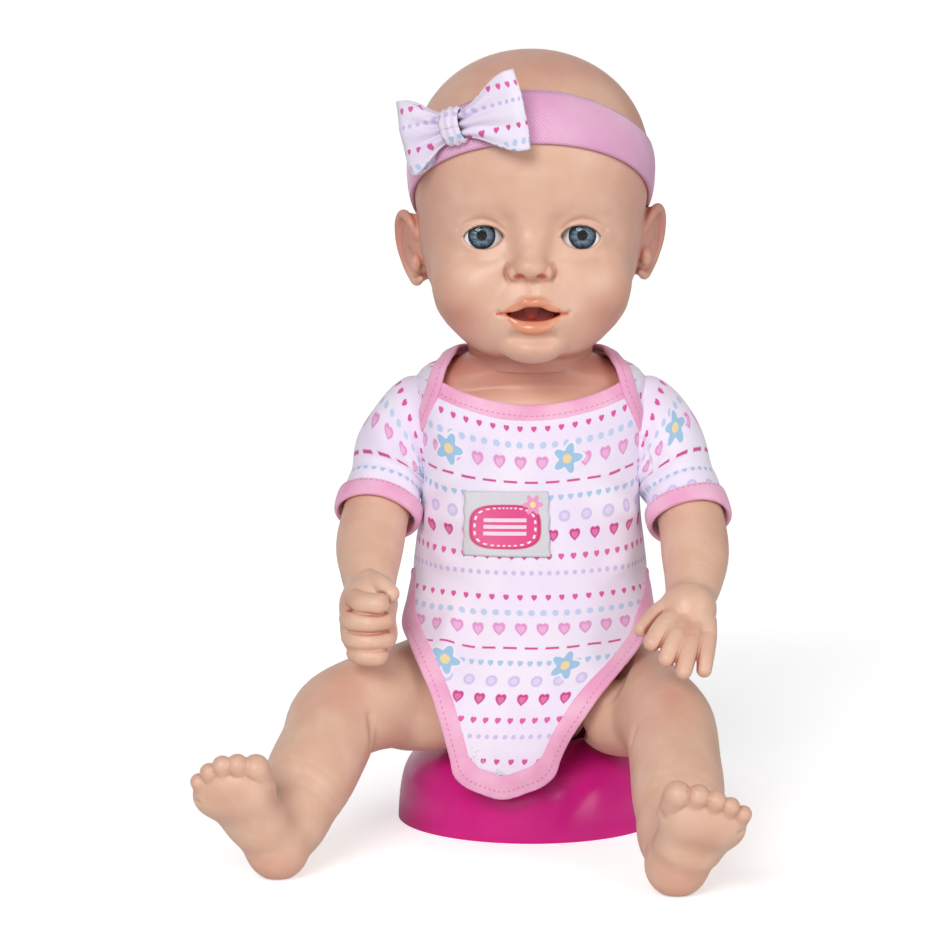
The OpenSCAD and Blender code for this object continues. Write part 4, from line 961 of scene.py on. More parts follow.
# ---------------------------------------------------------------- cloth
def heart(p, u, v, size):
    """Below 0 inside a heart of half height size, upright in v."""
    a = abs(u / size)
    b = v / size - p.math("SQRT", a) * 0.62
    return a * a + b * b - 0.85


def disc(p, u, v, size):
    return p.far(u, v) - size


def dash(p, u, v, size):
    return p.math("MAXIMUM", abs(u) - size, abs(v) - 0.45)


def flower(p, u, v, petals, wave, size):
    """How far a place lies from a flower's middle, and how far the petals reach that way."""
    lobes = p.math("COSINE", p.math("ARCTAN2", v, u) * petals)
    return p.far(u, v), lobes.scaled(wave, size)


def cell(p, value, pitch, start=0.0):
    """Place within the cell of that pitch, from minus half to plus half."""
    return p.math("FLOORED_MODULO", value - start + pitch / 2, pitch) - pitch / 2


PRINT_REPEAT = 66  # height of the printed pattern before it repeats
PRINT_ROWS = [  # height, motif, size, pitch, shift, ink
    (4, disc, 0.9, 3.4, 0.0, (206, 190, 232)), (10, heart, 1.25, 4.8, 2.0, (222, 96, 168)),
    (18, heart, 2.3, 8.4, 0.0, (206, 58, 138)), (26, disc, 2.3, 8.8, 4.0, (208, 196, 234)),
    (33, heart, 1.2, 3.8, 0.0, (170, 200, 230)), (39.5, dash, 2.6, 8.2, 0.0, (208, 70, 140)),
    (46.5, heart, 2.6, 8.4, 4.2, (226, 148, 204)), (54, disc, 1.3, 4.6, 0.0, (190, 206, 236)),
    (60, heart, 1.2, 5.4, 1.0, (216, 84, 160)),
]
INNER = {heart: 0.6, disc: 0.55}  # size of the lighter middle of a large motif


def print_paint():
    """Knitted cotton printed with rows of hearts, dots and dashes."""
    p = Paint("print_cloth", rgb(240, 232, 247), 0.85, Sheen_Weight=0.25, Sheen_Roughness=0.5)
    u, v = p.print_place()
    colour = p.cloudy(35, 2, 0.3, 0.7, rgb(242, 233, 248), rgb(236, 224, 245))
    for height, motif, size, pitch, start, ink in PRINT_ROWS:
        du, dv = cell(p, u, pitch, start), cell(p, v, PRINT_REPEAT, height)
        colour = p.mix(p.clamp(motif(p, du, dv, size), 0.25, -0.25), colour, rgb(*ink))
        if size > 2.2 and motif in INNER:
            inner = motif(p, du, dv, size * INNER[motif])
            light = (int(c + (255 - c) * 0.3) for c in ink)
            colour = p.mix(p.clamp(inner, 0.2, -0.25), colour, rgb(*light))
    # larger flowers, far apart, each on a plain ground
    far, petal = flower(p, cell(p, u, 47, 14), cell(p, v, 82, 64), 5, 1.3, 4.6)
    colour = p.mix(p.clamp(far - (petal + 1.2), 0.2, -0.2), colour, rgb(240, 231, 247))
    colour = p.mix(p.clamp(far - petal, 0.2, -0.2), colour, rgb(158, 196, 226))
    p.colour(p.mix(p.clamp(far, 2.0, 1.6), colour, rgb(238, 214, 160)))
    p.bump((u * 9.5).sine() * (v * 7.5).sine(), 0.06, 0.5)
    return p.material


def binding_paint():
    """Ribbed pink binding with a row of stitches."""
    p = Paint("binding", rgb(236, 158, 196), 0.8, Sheen_Weight=0.3, Sheen_Roughness=0.4)
    u, v = p.print_place()
    ground = p.cloudy(60, 4, 0.3, 0.75, rgb(236, 162, 200), rgb(243, 190, 216))
    stitch = p.clamp(abs(v - 1.1), 0.34, 0.16) * p.clamp((u * 2.9).sine(), -0.3, 0.1)
    p.colour(p.mix(stitch * 0.6, ground, rgb(206, 108, 160)))
    p.bump((u * 6.0).sine() * 0.5 + p.noise(1500, 2), 0.09, 0.6)
    return p.material


# Share of the body's height, then half width, front depth and back depth
BODY_ROWS = [
    (0.000, 12, 18.5, 18.5), (0.020, 19, 24.5, 24.5), (0.041, 25, 27.4, 27.4),
    (0.080, 30, 31.5, 29), (0.130, 37, 36, 31), (0.19, 43.2, 40, 33), (0.30, 44.5, 41, 34),
    (0.40, 43.8, 39.8, 33), (0.50, 42.7, 36.9, 31.3), (0.60, 41, 34, 30), (0.71, 40.5, 31, 28.5),
    (0.80, 40.5, 28, 27.5), (0.865, 40.5, 25, 26), (0.90, 39, 22, 23.5), (0.93, 33, 21, 22.5),
    (0.955, 26.5, 22.5, 23), (0.975, 24.3, 23.6, 23.7), (1.00, 24, 24, 24),
]


def body_point(azimuth, z, off):
    """Points over the body at azimuths from the front and heights, moved out by off."""
    azimuth, z = np.broadcast_arrays(np.asarray(azimuth, float), np.asarray(z, float))
    s = profile(BODY_ROWS, (z - BODY_LOW) / (BODY_HIGH - BODY_LOW))
    depth = np.where(np.cos(azimuth) > 0, s[..., 1], s[..., 2]) + off
    return np.stack([(s[..., 0] + off) * np.sin(azimuth), -depth * np.cos(azimuth), z], -1)


WAIST_Z = 100.4  # the panels' upper parts end here
# The cloth's own sections from the chest up: z, half width, front, back, squareness
SUIT_ROWS = [
    (100, 46.0, 40.2, 35.0, 2.0), (112, 44.7, 38.5, 33.2, 2.1), (124, 43.2, 35.8, 32, 2.4),
    (136, 42.6, 33.4, 31, 2.8), (148, 43.2, 31.6, 30.2, 3.0), (158, 43.9, 30.0, 29.6, 3.0),
    (167, 44.5, 28.2, 29, 3.0), (174, 44.8, 26.8, 28.4, 2.8), (179, 44.4, 26.2, 28, 2.6),
    (182.5, 41.2, 26, 27.6, 2.4), (185.5, 35, 26, 27.2, 2.2), (188, 29.6, 26.2, 27, 2.1),
    (190, 27.2, 26.5, 26.8, 2.0), (192, 26.5, 26.5, 26.5, 2.0),
]
SUIT_LOW, SUIT_HIGH = 100, 192  # the tabled part of the suit
SUIT_LEVELS, SUIT_TURNS = 139, 241  # the table's rows, and its places round each row


def suit_section(z):
    """Points round the cloth at one height, at even steps from the back over the doll's right
    side to the front, which is half way, and on to the back."""
    width, front, back, power = profile(SUIT_ROWS, z)
    a = np.linspace(-math.pi, math.pi, 721)
    sine, cosine = np.sin(a), np.cos(a)
    x, y = width * bent(sine, 2 / power), -np.where(cosine > 0, front, back) * bent(cosine, 2 / power)
    run = np.concatenate([[0], np.cumsum(np.hypot(np.diff(x), np.diff(y)))])
    # quarters keep their places, so that the sides stay at a quarter and three quarters
    marks = run[::180]
    at = np.interp(np.linspace(0, 4, SUIT_TURNS), range(5), marks)
    return np.stack([np.interp(at, run, x), np.interp(at, run, y), np.full(SUIT_TURNS, z)], 1)


SUIT = np.array([suit_section(z) for z in np.linspace(SUIT_LOW, SUIT_HIGH, SUIT_LEVELS)])
SUIT_OUT = unit(np.cross(np.gradient(SUIT, axis=1), np.gradient(SUIT, axis=0)))


def suit_at(turn, z, off=0.0):
    """Cloth surface at turn (-1 to 1 from the back round the right side, 0 at the front)."""
    turn, z = np.broadcast_arrays(np.asarray(turn, float), np.asarray(z, float))
    last_i, last_j = SUIT_LEVELS - 1, SUIT_TURNS - 1
    i = np.clip((z - SUIT_LOW) / ((SUIT_HIGH - SUIT_LOW) / last_i), 0, last_i - 0.001)
    j = np.clip((turn + 1) / 2 * last_j, 0, last_j - 0.001)
    i0, j0 = i.astype(int), j.astype(int)
    fi, fj = (i - i0)[..., None], (j - j0)[..., None]

    def blend(table):
        low = table[i0, j0] * (1 - fj) + table[i0, j0 + 1] * fj
        high = table[i0 + 1, j0] * (1 - fj) + table[i0 + 1, j0 + 1] * fj
        return low * (1 - fi) + high * fi

    point = blend(SUIT)
    out = unit(blend(SUIT_OUT))
    out = out * np.sign((out * point * (1, 1, 0)).sum(-1, keepdims=True) + 1e-9)
    return point + out * np.asarray(off)[..., None], out


# Edges and middle of the front panel below the belly: left, middle and right x, y, z
FLAP_KEYS = [
    [(-45.6, -2, 100), (0, -40.4, 100), (45.6, -2, 100)],
    [(-47.5, -12, 91), (0, -43, 90), (47, -12, 92)],
    [(-49.3, -28, 83), (0, -48, 80.5), (46.6, -30, 85.5)],
    [(-45.6, -46, 76), (-1, -53, 70), (41, -48.5, 77.5)],
    [(-37.6, -59.5, 59.5), (-4.5, -59.6, 55.5), (25, -59.5, 60)],
    [(-32.4, -61, 43), (-8, -61.8, 41), (13.6, -61, 44)],
    [(-29.6, -60.8, 32), (-10, -61.6, 30.5), (8.4, -60.8, 32)],
    [(-27, -60.4, 24.2), (-11.5, -61.2, 22.2), (4, -60.4, 24.2)],
]


def spread(points):
    """How far each point of a sheet lies from the middle of its row, along the cloth."""
    u = np.cumsum(np.linalg.norm(np.diff(points, axis=1), axis=2), axis=1)
    u = np.concatenate([np.zeros((len(points), 1)), u], 1)
    middle = points.shape[1] // 2
    return u - u[:, middle:middle + 1]


def neck_front(turn):
    """Height of the front panel's upper edge."""
    return 166.3 + 8 * np.minimum(np.abs(turn) / 0.3, 1.3) ** 1.8


def folds(u, v, height):
    """Shallow creases across a cloth panel, in mm."""
    return height * (np.sin(u * 0.13 + 0.9 * np.sin(v * 0.045)) * np.sin(v * 0.052 + 1.1)
                     + 0.5 * np.sin(u * 0.31 - v * 0.11 + 2.0))


def creases(points, lines):
    """Height of soft ridges: each line is (start, end, width, height) over the cloth."""
    total = 0
    for a, b, width, height in lines:
        a, b = np.array(a, float), np.array(b, float)
        way = b - a
        t = np.clip(((points - a) @ way) / (way @ way), 0, 1)
        far = np.linalg.norm(points - a - t[..., None] * way, axis=-1)
        total = total + height * np.exp(-((far / width) ** 2)) * np.sin(math.pi * (0.08 + 0.84 * t))
    return total


FRONT_CREASES = [
    ((-43, -14, 132), (-22, -34, 146), 3.2, 1.5), ((-43, -12, 122), (-28, -34, 128), 3.5, 1.1),
    ((43, -14, 134), (24, -33, 148), 3.2, 1.5), ((44, -12, 124), (27, -35, 131), 3.6, 1.2),
    ((-40, -20, 112), (-24, -40, 104), 4, 1.2), ((41, -20, 110), (26, -40, 101), 4, 1.2),
    ((-30, -36, 95), (-37, -56, 66), 4.5, 2.0), ((-20, -44, 96), (-25, -60, 60), 4.5, -1.0),
    ((24, -42, 97), (22, -58, 62), 5, 1.3), ((-14, -60, 52), (-10, -61, 32), 4, 1.0),
    ((6, -60, 50), (0, -61, 32), 4, 0.8), ((-12, -27, 160), (-20, -30, 146), 4, 0.8),
    ((14, -27, 158), (22, -30, 145), 4, 0.8),
]


def build_front():
    """The front panel from the neckline over the belly and thighs to the open flap's end."""
    columns, body_rows, flap_rows = 91, 50, 60
    s = np.linspace(-1, 1, columns)
    rows = []
    for j in range(body_rows):
        t, turn = j / body_rows, s * 0.5
        top = neck_front(turn)
        rows.append(suit_at(turn, top + (WAIST_Z - top) * t)[0])
    keys = np.array(FLAP_KEYS, float)
    for j in range(flap_rows + 1):
        f = (len(keys) - 1) * j / flap_rows
        left, middle, right = (smooth_row(keys[:, k], f) for k in range(3))
        a = np.abs(s) * math.pi / 2
        edge = np.where(s[:, None] < 0, left, right)
        narrow = math.sqrt(1 - 0.86 * min(max((f - 6.0) / 1.0, 0), 1) ** 2)
        rows.append(np.stack([middle[0] + (edge[:, 0] - middle[0]) * np.sin(a) * narrow,
                              edge[:, 1] + (middle[1] - edge[:, 1]) * np.cos(a),
                              edge[:, 2] + (middle[2] - edge[:, 2]) * np.cos(a)], 1))
    points = np.array(rows)
    for _ in range(3):  # ease the change from belly to flap
        points[body_rows - 4:body_rows + 6] = (
            points[body_rows - 5:body_rows + 5] + 2 * points[body_rows - 4:body_rows + 6]
            + points[body_rows - 3:body_rows + 7]) / 4
    u = spread(points)
    v = run_along(points[:, columns // 2])[:, None]
    normal = unit(np.cross(np.gradient(points, axis=0), np.gradient(points, axis=1)))
    normal *= -np.sign(normal[len(rows) // 2, columns // 2, 1])
    edge = smooth_step(1 - np.abs(s), 0.06, 0.34)[None, :]
    end = smooth_step(np.arange(len(rows)), 0, 8)[:, None]
    lift = (folds(u, v, 0.4) + 0.4 + 1.35 * creases(points, FRONT_CREASES)) * edge * end
    points = points + normal * lift[..., None]
    front = panel("bodysuit_front_cloth", points, u, -v)
    solidify(front, 1.0)
    finish_piece(front, "torso", PRINT_MATERIAL, "print_cloth", "bodysuit_front", "crotch_flap")
    return points, normal


SEAT_Z, HIP_HEM_Z = 37.5, 99.0  # the back panel's hem, under the seat and at the sides
# Edge of the back panel's lap over one shoulder: turn from the front, and height
LAP = [(0.47, 146), (0.425, 153), (0.385, 160), (0.352, 167), (0.33, 174), (0.325, 179),
       (0.35, 183), (0.42, 186), (0.5, 187), (0.6, 187), (0.75, 186.2), (0.88, 185.4), (1.0, 185)]


def lap_edge():
    """The laps' edge from the right front round the back to the left front: turn and height."""
    lap = smooth_row(LAP, np.linspace(0, len(LAP) - 1, 70))
    return np.concatenate([lap * (-1, 1), lap[::-1][1:]])


def build_back():
    """Back panel with its laps over both shoulders, in one sheet."""
    edge = lap_edge()
    columns, rows, low_rows = len(edge), 46, 32
    low_turn = np.sign(edge[:, 0]) * np.maximum(0.5, np.interp(
        np.arange(columns), [0, 30, 69, 108, columns - 1], [0.5, 0.62, 1.0, 0.62, 0.5]))
    points = []
    for j in range(rows):
        t = j / (rows - 1)
        turn = edge[:, 0] + (low_turn - edge[:, 0]) * smooth_step(t, 0, 0.55)
        z = edge[:, 1] + (WAIST_Z - edge[:, 1]) * t
        off = 0.9 * smooth_step(0.5 - np.abs(turn), -0.06, 0.03)
        points.append(suit_at(turn, z, off)[0])
    # below the waist: the seat, following the body down to the leg openings
    last = points[-1]
    azimuth = np.arctan2(last[:, 0], -last[:, 1])
    from_back = math.pi - np.abs(azimuth)
    rise, side_rise = (smooth_step(a, 0.3, 1.75) ** 1.15 for a in (from_back, math.pi / 2))
    hem_z = SEAT_Z + (HIP_HEM_Z - SEAT_Z) * rise / side_rise
    for j in range(1, low_rows + 1):
        z = WAIST_Z + (hem_z - WAIST_Z) * (j / low_rows)
        ring = body_point(azimuth, z, CLOTH_OUT + 0.3)
        mixed = last + (ring - last) * smooth_step(WAIST_Z - z, 0, 9)[:, None]
        points.append(np.stack([mixed[:, 0], mixed[:, 1], z], 1))
    points = np.array(points)
    u, v = spread(points), 190 - points[..., 2]
    normal = unit(points * (1, 1, 0))
    inner = smooth_step(np.arange(len(points)), 8, 26)[:, None] * smooth_step(
        1 - np.abs(np.linspace(-1, 1, columns)), 0, 0.2)[None, :]
    points = points + normal * ((folds(u + 30, v, 0.5) + 0.5) * inner)[..., None]
    back = panel("bodysuit_back_cloth", points, u, -v)
    turn_out(back, (0, 0, 120))
    solidify(back, 0.9)
    finish_piece(back, "torso", PRINT_MATERIAL, "print_cloth", "bodysuit_back")
    edge, out = points[-1, 1:-1], normal[-1, 1:-1]
    hem = ribbon("leg_binding_rear", edge + out * 0.1, out, 2.9, 1.2)
    finish_piece(hem, "torso", BINDING_MATERIAL, "binding_pink")


def oval_section(corners, wide, high):
    """A section's two offsets, from -1 to 1, made squarer by powers below 1."""
    t = circle(corners)
    return bent(np.cos(t), wide), bent(np.sin(t), high)


def ribbon(name, centre, normal, half_width, half_thick):
    """A padded ribbon along a line: an oval section square to it, wide across the normal."""
    centre, normal = np.asarray(centre, float), unit(normal)
    way = unit(np.gradient(centre, axis=0))
    across = unit(np.cross(way, normal))
    normal = unit(np.cross(across, way))
    half_width = np.broadcast_to(half_width, len(centre))[:, None]
    wide, high = oval_section(14, 0.55, 0.8)
    points = (centre[:, None] + across[:, None] * (half_width * wide)[..., None]
              + normal[:, None] * (half_thick * high)[None, :, None])
    obj = panel(name, points, run_along(centre)[:, None], half_width * wide,
                faces=tube_faces(len(centre), len(wide), False))
    fix_normals(obj)
    return obj


def fix_normals(obj):
    """Turns a closed mesh's faces outwards."""
    work = bmesh.new()
    work.from_mesh(obj.data)
    bmesh.ops.recalc_face_normals(work, faces=work.faces)
    work.to_mesh(obj.data)
    work.free()


def build_neck_bindings():
    """Binding of the front's neckline, and of the back panel's laps over it."""
    turn = np.linspace(-0.345, 0.345, 60)
    centre, out = suit_at(turn, neck_front(turn) + 0.6, 0.45)
    neck = ribbon("neck_binding_front", centre, out, 3.4, 0.85)
    finish_piece(neck, "torso", BINDING_MATERIAL, "binding_pink")
    edge = lap_edge()
    centre, out = suit_at(edge[:, 0], edge[:, 1], 1.5)
    taper = smooth_step(np.arange(len(edge)), -2, 16)
    taper = taper * taper[::-1]
    collar = ribbon("neck_binding_lap", centre, out, 0.6 + 2.9 * taper, 1.0)
    finish_piece(collar, "torso", BINDING_MATERIAL, "binding_pink", "neck_binding")


def build_leg_binding(front, normal):
    """Down one edge of the front, round the flap's end and up the other. Gives the part round
    the end, which the closure's loops fringe, with the ways out of the cloth and inwards."""
    start = 52  # row of the front panel at which the leg openings begin
    line = np.concatenate([front[start:-1, 0], front[-1], front[start:-1, -1][::-1]])
    steps = run_along(line)
    even = np.linspace(0, steps[-1], 140)
    line = np.stack([np.interp(even, steps, line[:, k]) for k in range(3)], 1)
    for _ in range(5):
        line[1:-1] = (line[:-2] + 2 * line[1:-1] + line[2:]) / 4
    out = normal.copy()
    out[:, :6], out[:, -6:] = normal[:, 6:7], normal[:, -7:-6]
    hangs = smooth_step(62 - front[..., 2], 0, 14)[..., None]  # the flap's end hangs straight
    out = unit(out * (1 - hangs) + np.array((0, -1, 0)) * hangs)
    cloth, out = front[start - 4:].reshape(-1, 3), out[start - 4:].reshape(-1, 3)
    tree = KDTree(len(cloth))
    for k, spot in enumerate(cloth):
        tree.insert(spot, k)
    tree.balance()

    def on_cloth(spot, lift):
        """The place at that height over the cloth, and the way out of it."""
        near = tree.find_n(spot, 6)
        weight = np.array([1 / (0.3 + far) for _, _, far in near])[:, None]
        pick = [k for _, k, _ in near]
        way = unit((out[pick] * weight).sum(0))
        base = (cloth[pick] * weight).sum(0) / weight.sum()
        return spot + way * (((base - spot) @ way) + lift), way

    facing = np.array([on_cloth(spot, 0)[1] for spot in line])
    inward = unit(np.cross(facing, np.gradient(line, axis=0)))
    inward *= np.sign(((front[75, 45] - line[10]) * inward[10]).sum())
    for _ in range(8):
        inward[1:-1] = unit(inward[:-2] + inward[1:-1] + inward[2:])
    corners = 16
    wide, high = oval_section(corners, 0.5, 0.5)
    broad = smooth_step(36 - line[:, 2], 0, 6)  # the end's binding is wider and fuller
    points = np.array([[on_cloth(line[k] + inward[k] * (2.4 + (3.8 + broad[k]) * wide[c]),
                                 0.6 + 1.1 * broad[k] + 1.0 * high[c])[0]
                        for c in range(corners)] for k in range(len(line))])
    leg = panel("leg_binding_cloth", points, even[:, None], -3.5 * wide,
                faces=tube_faces(len(line), corners, False))
    fix_normals(leg)
    finish_piece(leg, "torso", BINDING_MATERIAL, "binding_pink")
    low = line[:, 2] < 37
    return line[low] + inward[low] * 4.4 + facing[low] * 1.7, facing[low], inward[low]


SLEEVE_R = 16  # for the print round the sleeves


def sleeve_rows(side):
    """Rings of a sleeve from the shoulder seam to its mouth: centre, direction and both radii."""
    spine = arm_spine(side)
    keys = [(side * 40.6, 0.5, 157.5, side, 0, -0.2, 21.6, 17.2),
            (side * 44.5, 0, 157, side, 0, -0.3, 21.6, 17.4),
            (side * 49.5, -2.5, 153.6, side * 0.88, -0.15, -0.45, 20, 17),
            (side * 55.5, -7, 146.6, side * 0.7, -0.38, -0.6, 17.6, 16.2)]
    keys += [hanging_ring(spine, f, 15.2) for f in (2.75, 3.1, 3.5)]
    return smooth_row(keys, np.linspace(0, len(keys) - 1, 46)), spine


def hanging_ring(spine, f, r):
    """Centre, direction and radii of a ring whose top rests on the arm."""
    p = smooth_row(spine, f)
    t = unit(smooth_row(spine, f + 0.1)[:3] - smooth_row(spine, f - 0.1)[:3])
    up = unit(np.array((0, 0, 1)) - t[2] * t)
    return tuple(p[:3] - up * (r - 1.4 - p[3])) + tuple(t) + (r, r)


def ring_points(key, turns, grow=0):
    """A ring of points round a key of sleeve_rows, moved out by grow."""
    centre, way = key[:3], unit(key[3:6])
    up = unit(np.array((0, 0, 1)) - way[2] * way)
    deep = np.cross(way, up)
    grow = np.broadcast_to(grow, turns.shape)
    high = ((key[6] + grow) * np.sin(turns))[:, None]
    wide = ((key[7] + grow) * np.cos(turns))[:, None]
    return centre + wide * deep + high * up


CUFF_SECTION = [  # place along the cuff, and mm out from its ring
    (0.0, 0.2), (0.0, 1.1), (0.25, 1.6), (0.75, 1.7), (1.0, 1.2), (1.02, 0.2), (1.0, -0.6),
    (0.5, -0.6), (0, -0.5),
]


def build_sleeve(side):
    arm, name = "arm_" + SIDES[side], "sleeve_" + SIDES[side]
    keys, spine = sleeve_rows(side)
    around = 72
    turns = circle(around)
    points, runs = [], []
    run = 0
    for j, key in enumerate(keys):
        t = j / (len(keys) - 1)
        if j:
            run += np.linalg.norm(key[:3] - keys[j - 1][:3])
        hold = math.sin(math.pi * t) ** 0.7
        wave = 0.35 * np.sin(3 * turns + 5 * t + side) + 0.25 * np.sin(5 * turns - 7 * t + 1)
        inner = np.maximum(0, np.cos(turns - (math.pi if side < 0 else 0)))
        wave += 1.5 * inner * np.sin(22 * t + 2.2 * np.sin(turns)) * t
        points.append(ring_points(key, turns, wave * hold))
        runs.append([-run])
    sleeve = panel(name + "_cloth", points, turns * SLEEVE_R, runs, True)
    turn_out(sleeve, keys[len(keys) // 2][:3])
    solidify(sleeve, 0.9)
    finish_piece(sleeve, arm, PRINT_MATERIAL, "print_cloth", name)
    # turned-up cuff
    name = "cuff_" + SIDES[side]
    rings = [hanging_ring(spine, f, r) for f, r in ((3.42, 15.6), (3.7, 15.9), (3.98, 15.6))]
    points = [ring_points(smooth_row(rings, along * 2), turns, grow + 0.25 * np.sin(4 * turns + along))
              for along, grow in CUFF_SECTION]
    cuff = panel(name + "_cloth", points, turns * SLEEVE_R, [[along * 8] for along, _ in CUFF_SECTION],
                 faces=tube_faces(len(points), around, True))
    fix_normals(cuff)
    subdivide(cuff)
    finish_piece(cuff, arm, BINDING_MATERIAL, "binding_pink", name)


def turn_out(obj, inside):
    """Turns an open mesh's faces away from a point inside it."""
    mesh = obj.data
    face = mesh.polygons[len(mesh.polygons) // 2]
    if np.dot(face.normal, np.array(face.center) / MM - np.array(inside)) < 0:
        mesh.flip_normals()


def label_paint():
    """Silver satin with a woven pink panel, white running stitch, stripes and a daisy."""
    p = Paint("label_satin", rgb(208, 206, 214), 0.35, Sheen_Weight=0.4)
    u, v = p.print_place()
    weave = ((u + v) * 9).sine()
    colour = p.mix(p.clamp(weave, -1, 1), rgb(196, 194, 204), rgb(226, 224, 230))
    patch = (abs(u + 0.4) / 14.2) ** 3.2 + (abs(v + 1.2) / 8.6) ** 3.2 - 1.0
    colour = p.mix(p.clamp(patch, 0.12, -0.1), colour, rgb(206, 36, 108))
    colour = p.mix(p.clamp(patch, -0.2, -0.3), colour, rgb(226, 66, 136))
    stitch = p.clamp((p.math("ARCTAN2", v, u) * 26).sine(), -0.2, 0.2)
    colour = p.mix(p.clamp(abs(patch + 0.42), 0.09, 0.04) * stitch, colour, rgb(250, 240, 246))
    for height in (0.0, 2.6):
        stripe = p.clamp(abs(abs(v + 1.2) - height), 0.85, 0.6) * p.clamp(abs(u + 0.4), 8.6, 8.2)
        colour = p.mix(stripe, colour, rgb(244, 214, 230))
    far, petal = flower(p, u - 10.6, v - 7.4, 6, 0.9, 3.3)
    colour = p.mix(p.clamp(far - petal, 0.15, -0.15), colour, rgb(238, 150, 196))
    p.colour(p.mix(p.clamp(far, 1.3, 1.0), colour, rgb(250, 226, 150)))
    p.bump(weave, 0.05, 0.5)
    return p.material


LABEL_X, LABEL_Z = -10.0, 124.2  # middle of the label: along the cloth from the front, height
SUIT_HALF = 132  # mm along the cloth from the front half way round to the back


def build_label():
    columns, rows = 37, 29
    u, v = np.meshgrid(np.linspace(-17, 17, columns), np.linspace(12.6, -12.6, rows))
    u = u + 0.25 * np.sin(v * 0.9)
    points = suit_at((u + LABEL_X) / SUIT_HALF, LABEL_Z + v, 2.4)[0]
    label = panel("chest_label_satin", points, u, v)
    turn_out(label, (0, 0, 124))
    solidify(label, 0.5)
    finish_piece(label, "torso", label_paint(), "label_satin", "chest_label")


def fibre_paint():
    p = Paint("fastener_fibres", rgb(246, 244, 246), 0.8, Sheen_Weight=0.4)
    p.bump(p.noise(1200, 3), 0.1, 0.6)
    p.colour(p.cloudy(200, 2, 0.3, 0.7, rgb(254, 252, 253), rgb(244, 240, 246)))
    return p.material


FIBRES = 420
FLAP_X = -11.5  # middle of the flap's end


def build_fibres(line, facing, inward):
    """Short loops of the closure that fringe the binding round the flap's end."""
    rng = np.random.default_rng(7)
    points, faces = [], []
    for _ in range(FIBRES):
        k = rng.integers(len(line))
        out = facing[k]
        at = line[k] + inward[k] * (2.6 + rng.normal(0, 0.9)) + rng.normal(0, 0.7, 3) * (1, 0, 1)
        if abs(at[0] - FLAP_X) > 15 or at[2] < 25:
            continue
        lean = unit(np.array((rng.normal(), 0, rng.normal())) + inward[k] * 0.4)
        length = 0.9 + 1.2 * rng.random()
        side = unit(np.cross(out, lean)) * 0.08
        last = len(points)
        for t in (0, 0.35, 0.7, 1):
            middle = at + out * (0.1 + 0.35 * math.sin(t * 2.6) * length) + lean * t * length
            points += [middle - side, middle + side]
        faces += [[last + k, last + k + 1, last + k + 3, last + k + 2] for k in (0, 2, 4)]
    fibres = new_mesh("flap_fastener_fibres", points, faces)
    solidify(fibres, 0.12, 0)
    finish_piece(fibres, "torso", fibre_paint(), "hook_white", "flap_fastener")


# ---------------------------------------------------------------- head band and bow
BAND_GAP, BAND_T, BAND_W = 0.5, 1.4, 20  # off the skull, thickness, width
BAND_R = 46  # for the print round the band


def band_point(azimuth, up, off):
    """up runs from -1 at the band's lower edge to 1 at its upper edge."""
    middle = 0.8 - 0.445 * (1 - np.cos(azimuth)) / 2  # it drops towards the nape
    return skull_point(azimuth, middle + up * BAND_W * 0.5 / HEAD_H, off)


def band_paint():
    """Stretch satin with fine slanting ribs."""
    p = Paint("band_satin", rgb(232, 160, 200), 0.45, Sheen_Weight=0.4, Sheen_Roughness=0.3)
    u, v = p.print_place()
    rib = ((u + v * 0.8) * 5.5).sine()
    colour = p.cloudy(40, 3, 0.3, 0.7, rgb(232, 166, 206), rgb(240, 188, 218))
    p.colour(p.mix(rib.scaled(0.15, 0.15), colour, rgb(214, 134, 184)))
    p.bump(rib, 0.12, 0.7)
    return p.material


def build_band():
    azimuth = math.pi + circle(200)
    ups = np.linspace(-1, 1, 15)
    points = []
    for up in ups:
        bulge = 0.35 * (1 - up**2) - 0.25 * abs(up) ** 6
        points.append(band_point(azimuth, up, BAND_GAP + BAND_T + bulge))
    band = panel("head_band_satin", points, azimuth * BAND_R, ups[:, None] * BAND_W / 2, True)
    turn_out(band, (0, 0, 270))
    solidify(band, BAND_T)
    finish_piece(band, "head", band_paint(), "band_pink", "head_band")


def bow_frame():
    """Middle of the knot, and the bow's turn."""
    at = band_point(math.radians(-34), 0.1, BAND_GAP + BAND_T + 3.5)
    turn = Matrix.Rotation(math.radians(-30), 4, "Z") @ Matrix.Rotation(math.radians(-14), 4, "Y")
    return at, np.array(turn.to_3x3())


